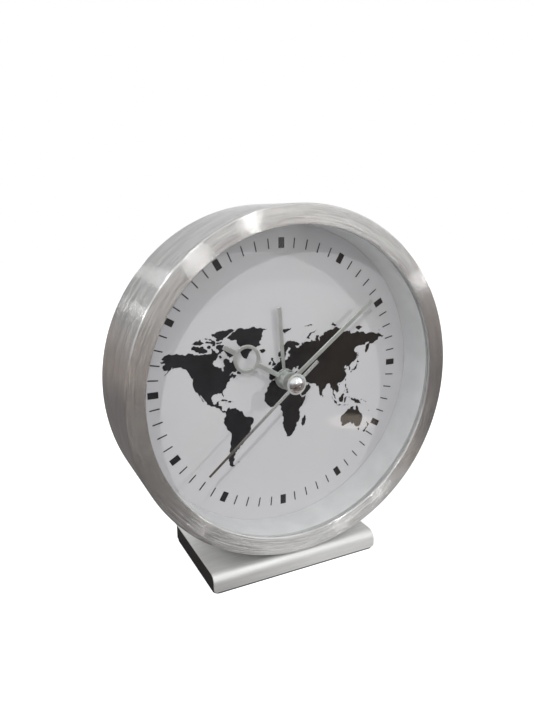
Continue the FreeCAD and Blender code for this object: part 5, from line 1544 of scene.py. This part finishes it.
@dataclass(frozen=True)
class Lamp:
    """A square lamp that faces the clock, with its power in watts."""

    name: str
    power: float
    size: float
    direction: tuple[float, float, float]
    use: LampUse = LampUse.LIGHT
    distance: float = 620.0

    def build(self) -> None:
        """Makes the lamp.

        It stands its distance away from the dial's centre. Its own axes are the level direction
        across the way to it, the direction square to both, and the way to it.
        """
        data = bpy.data.lights.new(self.name, "AREA")
        data.energy = self.power
        data.size = self.size * MM
        lamp = bpy.data.objects.new(self.name, data)
        way = np.array(self.direction, float)
        way /= np.linalg.norm(way)
        middle = np.array([LAYOUT.axis_x, LAYOUT.dial_y, LAYOUT.axis_z])
        lamp.location = ((middle + way * self.distance) * MM).tolist()
        side = np.cross((0, 0, 1), way)
        side /= np.linalg.norm(side)
        turn = Matrix(np.stack([side, np.cross(way, side), way], 1).tolist())
        lamp.rotation_euler = turn.to_euler()
        lamp.visible_camera = False
        lamp.visible_glossy = self.use is LampUse.GLINT
        lamp.visible_diffuse = self.use is LampUse.LIGHT
        bpy.context.scene.collection.objects.link(lamp)


@dataclass
class Studio:
    """Camera, lamps, pale floor and the room that the metal mirrors."""

    camera_place: tuple[float, float, float] = (-94.07, -189.24, 124.39)
    azimuth: float = -25.97
    elevation: float = 13.35
    roll: float = -0.77
    lens: float = 30.83
    sensor: float = 36.0
    backdrop: tuple[float, float] = (0.86, 0.95)
    room: tuple[tuple[float, Colour], ...] = (
        (0.47, (0.30, 0.265, 0.245)), (0.51, (0.36, 0.33, 0.31)), (0.57, (0.68, 0.68, 0.68)),
        (0.66, (0.96, 0.97, 0.97)), (1.0, (0.98, 0.98, 0.98)))
    bands: tuple[float, ...] = (24.6, 27.4)
    band_tone: Colour = (1.9, 1.9, 1.9)
    side_glow: tuple[float, float, float] = (0.805, -0.453, 0.382)
    floor_half: float = 1500.0
    floor_near: Colour = (0.6, 0.59, 0.58)
    floor_far: tuple[Colour, Colour] = ((0.056, 0.043, 0.040), (0.34, 0.285, 0.26))
    floor_glow_patch: Colour = (3.8, 3.3, 2.8)
    near_spot: tuple[float, float, float, float] = (33.0, -28.0, 68.0, 22.0)
    patch_spot: tuple[float, float, float, float] = (104.0, -138.5, 16.5, 10.5)
    lamps: tuple[Lamp, ...] = (
        Lamp("left_lamp", 0.9, 14.0, (-0.64, -1.0, 0.74)),
        Lamp("right_lamp", 0.7, 20.0, (0.78, -1.0, 0.68)),
        Lamp("top_lamp", 0.35, 30.0, (0.0, -0.6, 0.8)),
        Lamp("back_lamp", 1.5, 90.0, (-0.9, 0.8, 0.8)),
        Lamp("bezel_glint", 0.18, 34.0, (0.01, -0.955, 0.305), LampUse.GLINT),
        Lamp("edge_glint", 0.1, 22.0, (0.86, -0.49, 0.09), LampUse.GLINT),
        Lamp("crown_glint", 0.42, 45.0, (0.15, -0.7, 0.7), LampUse.GLINT),
        Lamp("shoulder_glint", 0.34, 70.0, (-0.70, 0.0, 0.72), LampUse.GLINT),
        Lamp("side_glint", 0.2, 62.0, (-0.85, 0.1, 0.463), LampUse.GLINT),
    )

    def axes(self) -> np.ndarray:
        """Turns the camera's three angles into directions.

        Returns:
            Right, up and backward, as columns.
        """
        az, el, roll = (math.radians(a) for a in (self.azimuth, self.elevation, self.roll))
        ahead = np.array([-math.sin(az) * math.cos(el), math.cos(az) * math.cos(el), -math.sin(el)])
        right = np.array([math.cos(az), math.sin(az), 0.0])
        up = np.cross(right, ahead)
        rolled = math.cos(roll) * right + math.sin(roll) * up
        return np.stack([rolled, math.cos(roll) * up - math.sin(roll) * right, -ahead], 1)

    def build_camera(self) -> None:
        """Makes the camera and sets it as the scene's."""
        data = bpy.data.cameras.new("camera")
        data.lens = self.lens
        data.sensor_width = self.sensor
        data.clip_start, data.clip_end = 0.01, 20.0
        camera = bpy.data.objects.new("camera", data)
        turn = Matrix(self.axes().tolist()).to_4x4()
        camera.matrix_world = Matrix.Translation([c * MM for c in self.camera_place]) @ turn
        bpy.context.scene.collection.objects.link(camera)
        bpy.context.scene.camera = camera

    @staticmethod
    def ray(graph: Graph, kind: str) -> Signal:
        """1 for one kind of ray, else 0."""
        return graph.node("ShaderNodeLightPath", output=f"Is {kind} Ray")

    def build_world(self) -> None:
        """Makes the room that mirrors see, white behind the clock, and plain light for the rest.

        Its tone follows the direction's height and falls off behind the clock. Two narrow upright
        bands near the horizon and a soft glow on the right stand for what the real glass mirrored.
        """
        world = bpy.data.worlds.new("studio")
        bpy.context.scene.world = world
        world.use_nodes = True
        graph = Graph(world.node_tree)
        way = graph.node("ShaderNodeTexCoord", output="Generated")
        x, y, z = graph.parts(way)
        room = graph.node("ShaderNodeValToRGB", {"stops": self.room}, {"Fac": z * 0.5 + 0.5})
        room = graph.vector("SCALE", room, graph.spread(y, 0.0, 0.7, 1.0, 0.6))
        turn = graph.maths("ARCTAN2", x, y * -1.0)
        level = (z > -0.1) * (z < 0.03)
        for azimuth in self.bands:
            offset = graph.maths("ABSOLUTE", turn - math.radians(azimuth))
            room = graph.mix(graph.spread(offset, 0.0, 0.04, 1.0, 0.0) * level, room, self.band_tone)
        glow = graph.spread(graph.dot(way, self.side_glow), 0.8, 0.97, 0.0, 0.45)
        room = graph.vector("ADD", room, graph.join(glow, glow, glow))
        ahead = tuple((-self.axes()[:, 2]).tolist())
        seen = graph.mix(graph.spread(graph.dot(way, ahead), *self.backdrop), room, WHITE)
        mirror = graph.maths("MAXIMUM", self.ray(graph, "Glossy"), self.ray(graph, "Transmission"))
        colour = graph.mix(mirror, (0.8, 0.8, 0.8), seen)
        colour = graph.mix(self.ray(graph, "Camera"), colour, WHITE)
        light = graph.node("ShaderNodeBackground", {}, {"Color": colour, "Strength": 1.0})
        graph.node("ShaderNodeOutputWorld", {}, {"Surface": light})

    @staticmethod
    def spot(graph: Graph, x: float, y: float, outer: float, inner: float) -> Signal:
        """A round patch of the floor: 1 within the inner radius, 0 beyond the outer one."""
        reach = graph.vector("SUBTRACT", graph.place(), (x, y, 0.0))
        return graph.spread(graph.vector("LENGTH", reach, output="Value"), inner, outer, 1.0, 0.0)

    def build_floor(self) -> None:
        """Makes the pale floor, white to the camera, with the clock's shadow on it.

        Mirrors see it glow pale under the clock, dark round it and lighter again far away, with one
        small bright glowing patch.
        """
        mesh = bpy.data.meshes.new("floor")
        half = self.floor_half * MM
        mesh.from_pydata([(-half, -half, 0), (half, -half, 0), (half, half, 0), (-half, half, 0)], [],
                         [(0, 1, 2, 3)])
        floor = bpy.data.objects.new("floor", mesh)
        bpy.context.scene.collection.objects.link(floor)
        made = bpy.data.materials.new("pale_floor")
        made.use_nodes = True
        graph = Graph(made.node_tree)
        mirror = self.ray(graph, "Glossy")
        away = graph.vector("LENGTH", graph.place(), output="Value")
        far = graph.mix(graph.spread(away, 250.0, 900.0), *self.floor_far)
        ground = graph.mix(self.spot(graph, *self.near_spot), far, self.floor_near)
        # A bright glowing patch on the floor, which is no lamp, for mirrors to show.
        ground = graph.mix(self.spot(graph, *self.patch_spot), ground, self.floor_glow_patch)
        pale = graph.mix(mirror, (0.42, 0.42, 0.42), (0.1, 0.1, 0.1))
        paint = graph.node("ShaderNodeBsdfDiffuse", {}, {"Color": pale})
        colour = graph.mix(mirror, (0.82, 0.82, 0.82), ground)
        strength = graph.maths("MAXIMUM", self.ray(graph, "Camera"), mirror)
        glow = graph.node("ShaderNodeEmission", {}, {"Color": colour, "Strength": strength})
        both = graph.node("ShaderNodeAddShader", {}, {0: paint, 1: glow})
        graph.node("ShaderNodeOutputMaterial", {}, {"Surface": both})
        mesh.materials.append(made)

    def build(self) -> None:
        """Makes the whole studio."""
        bpy.context.scene.view_settings.view_transform = "Standard"
        self.build_camera()
        self.build_world()
        self.build_floor()
        for lamp in self.lamps:
            lamp.build()


def dress_nodes(shelf: FinishShelf) -> None:
    """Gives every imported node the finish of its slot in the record, and the foot's core a darker one.

    Args:
        shelf: The materials.
    """
    for part in frame["record"]["subparts"]:
        node = part["node"]
        shelf.dress(frame["nodes"][node], "core_black" if node == "foot_core" else part["material_slot"])


def main() -> None:
    """Builds the clock's looks."""
    logging.basicConfig(level=logging.INFO, format="%(name)s: %(message)s")
    shelf = FinishShelf()
    dress_nodes(shelf)
    dresser = Dresser(shelf)
    Case().build(dresser)
    MapPrint().build(dresser)
    DialMarks().build(dresser)
    Hands().build(dresser)
    Foot().build(dresser)
    Knob("time_set_knob", "time_setting", TIME_KNOB, 6.5).build(dresser)
    Knob("alarm_set_knob", "alarm_setting", ALARM_KNOB, 5.5).build(dresser)
    BackMarks().build(dresser)
    Studio().build()
    bpy.context.view_layer.update()


if __name__ == "__main__":
    main()
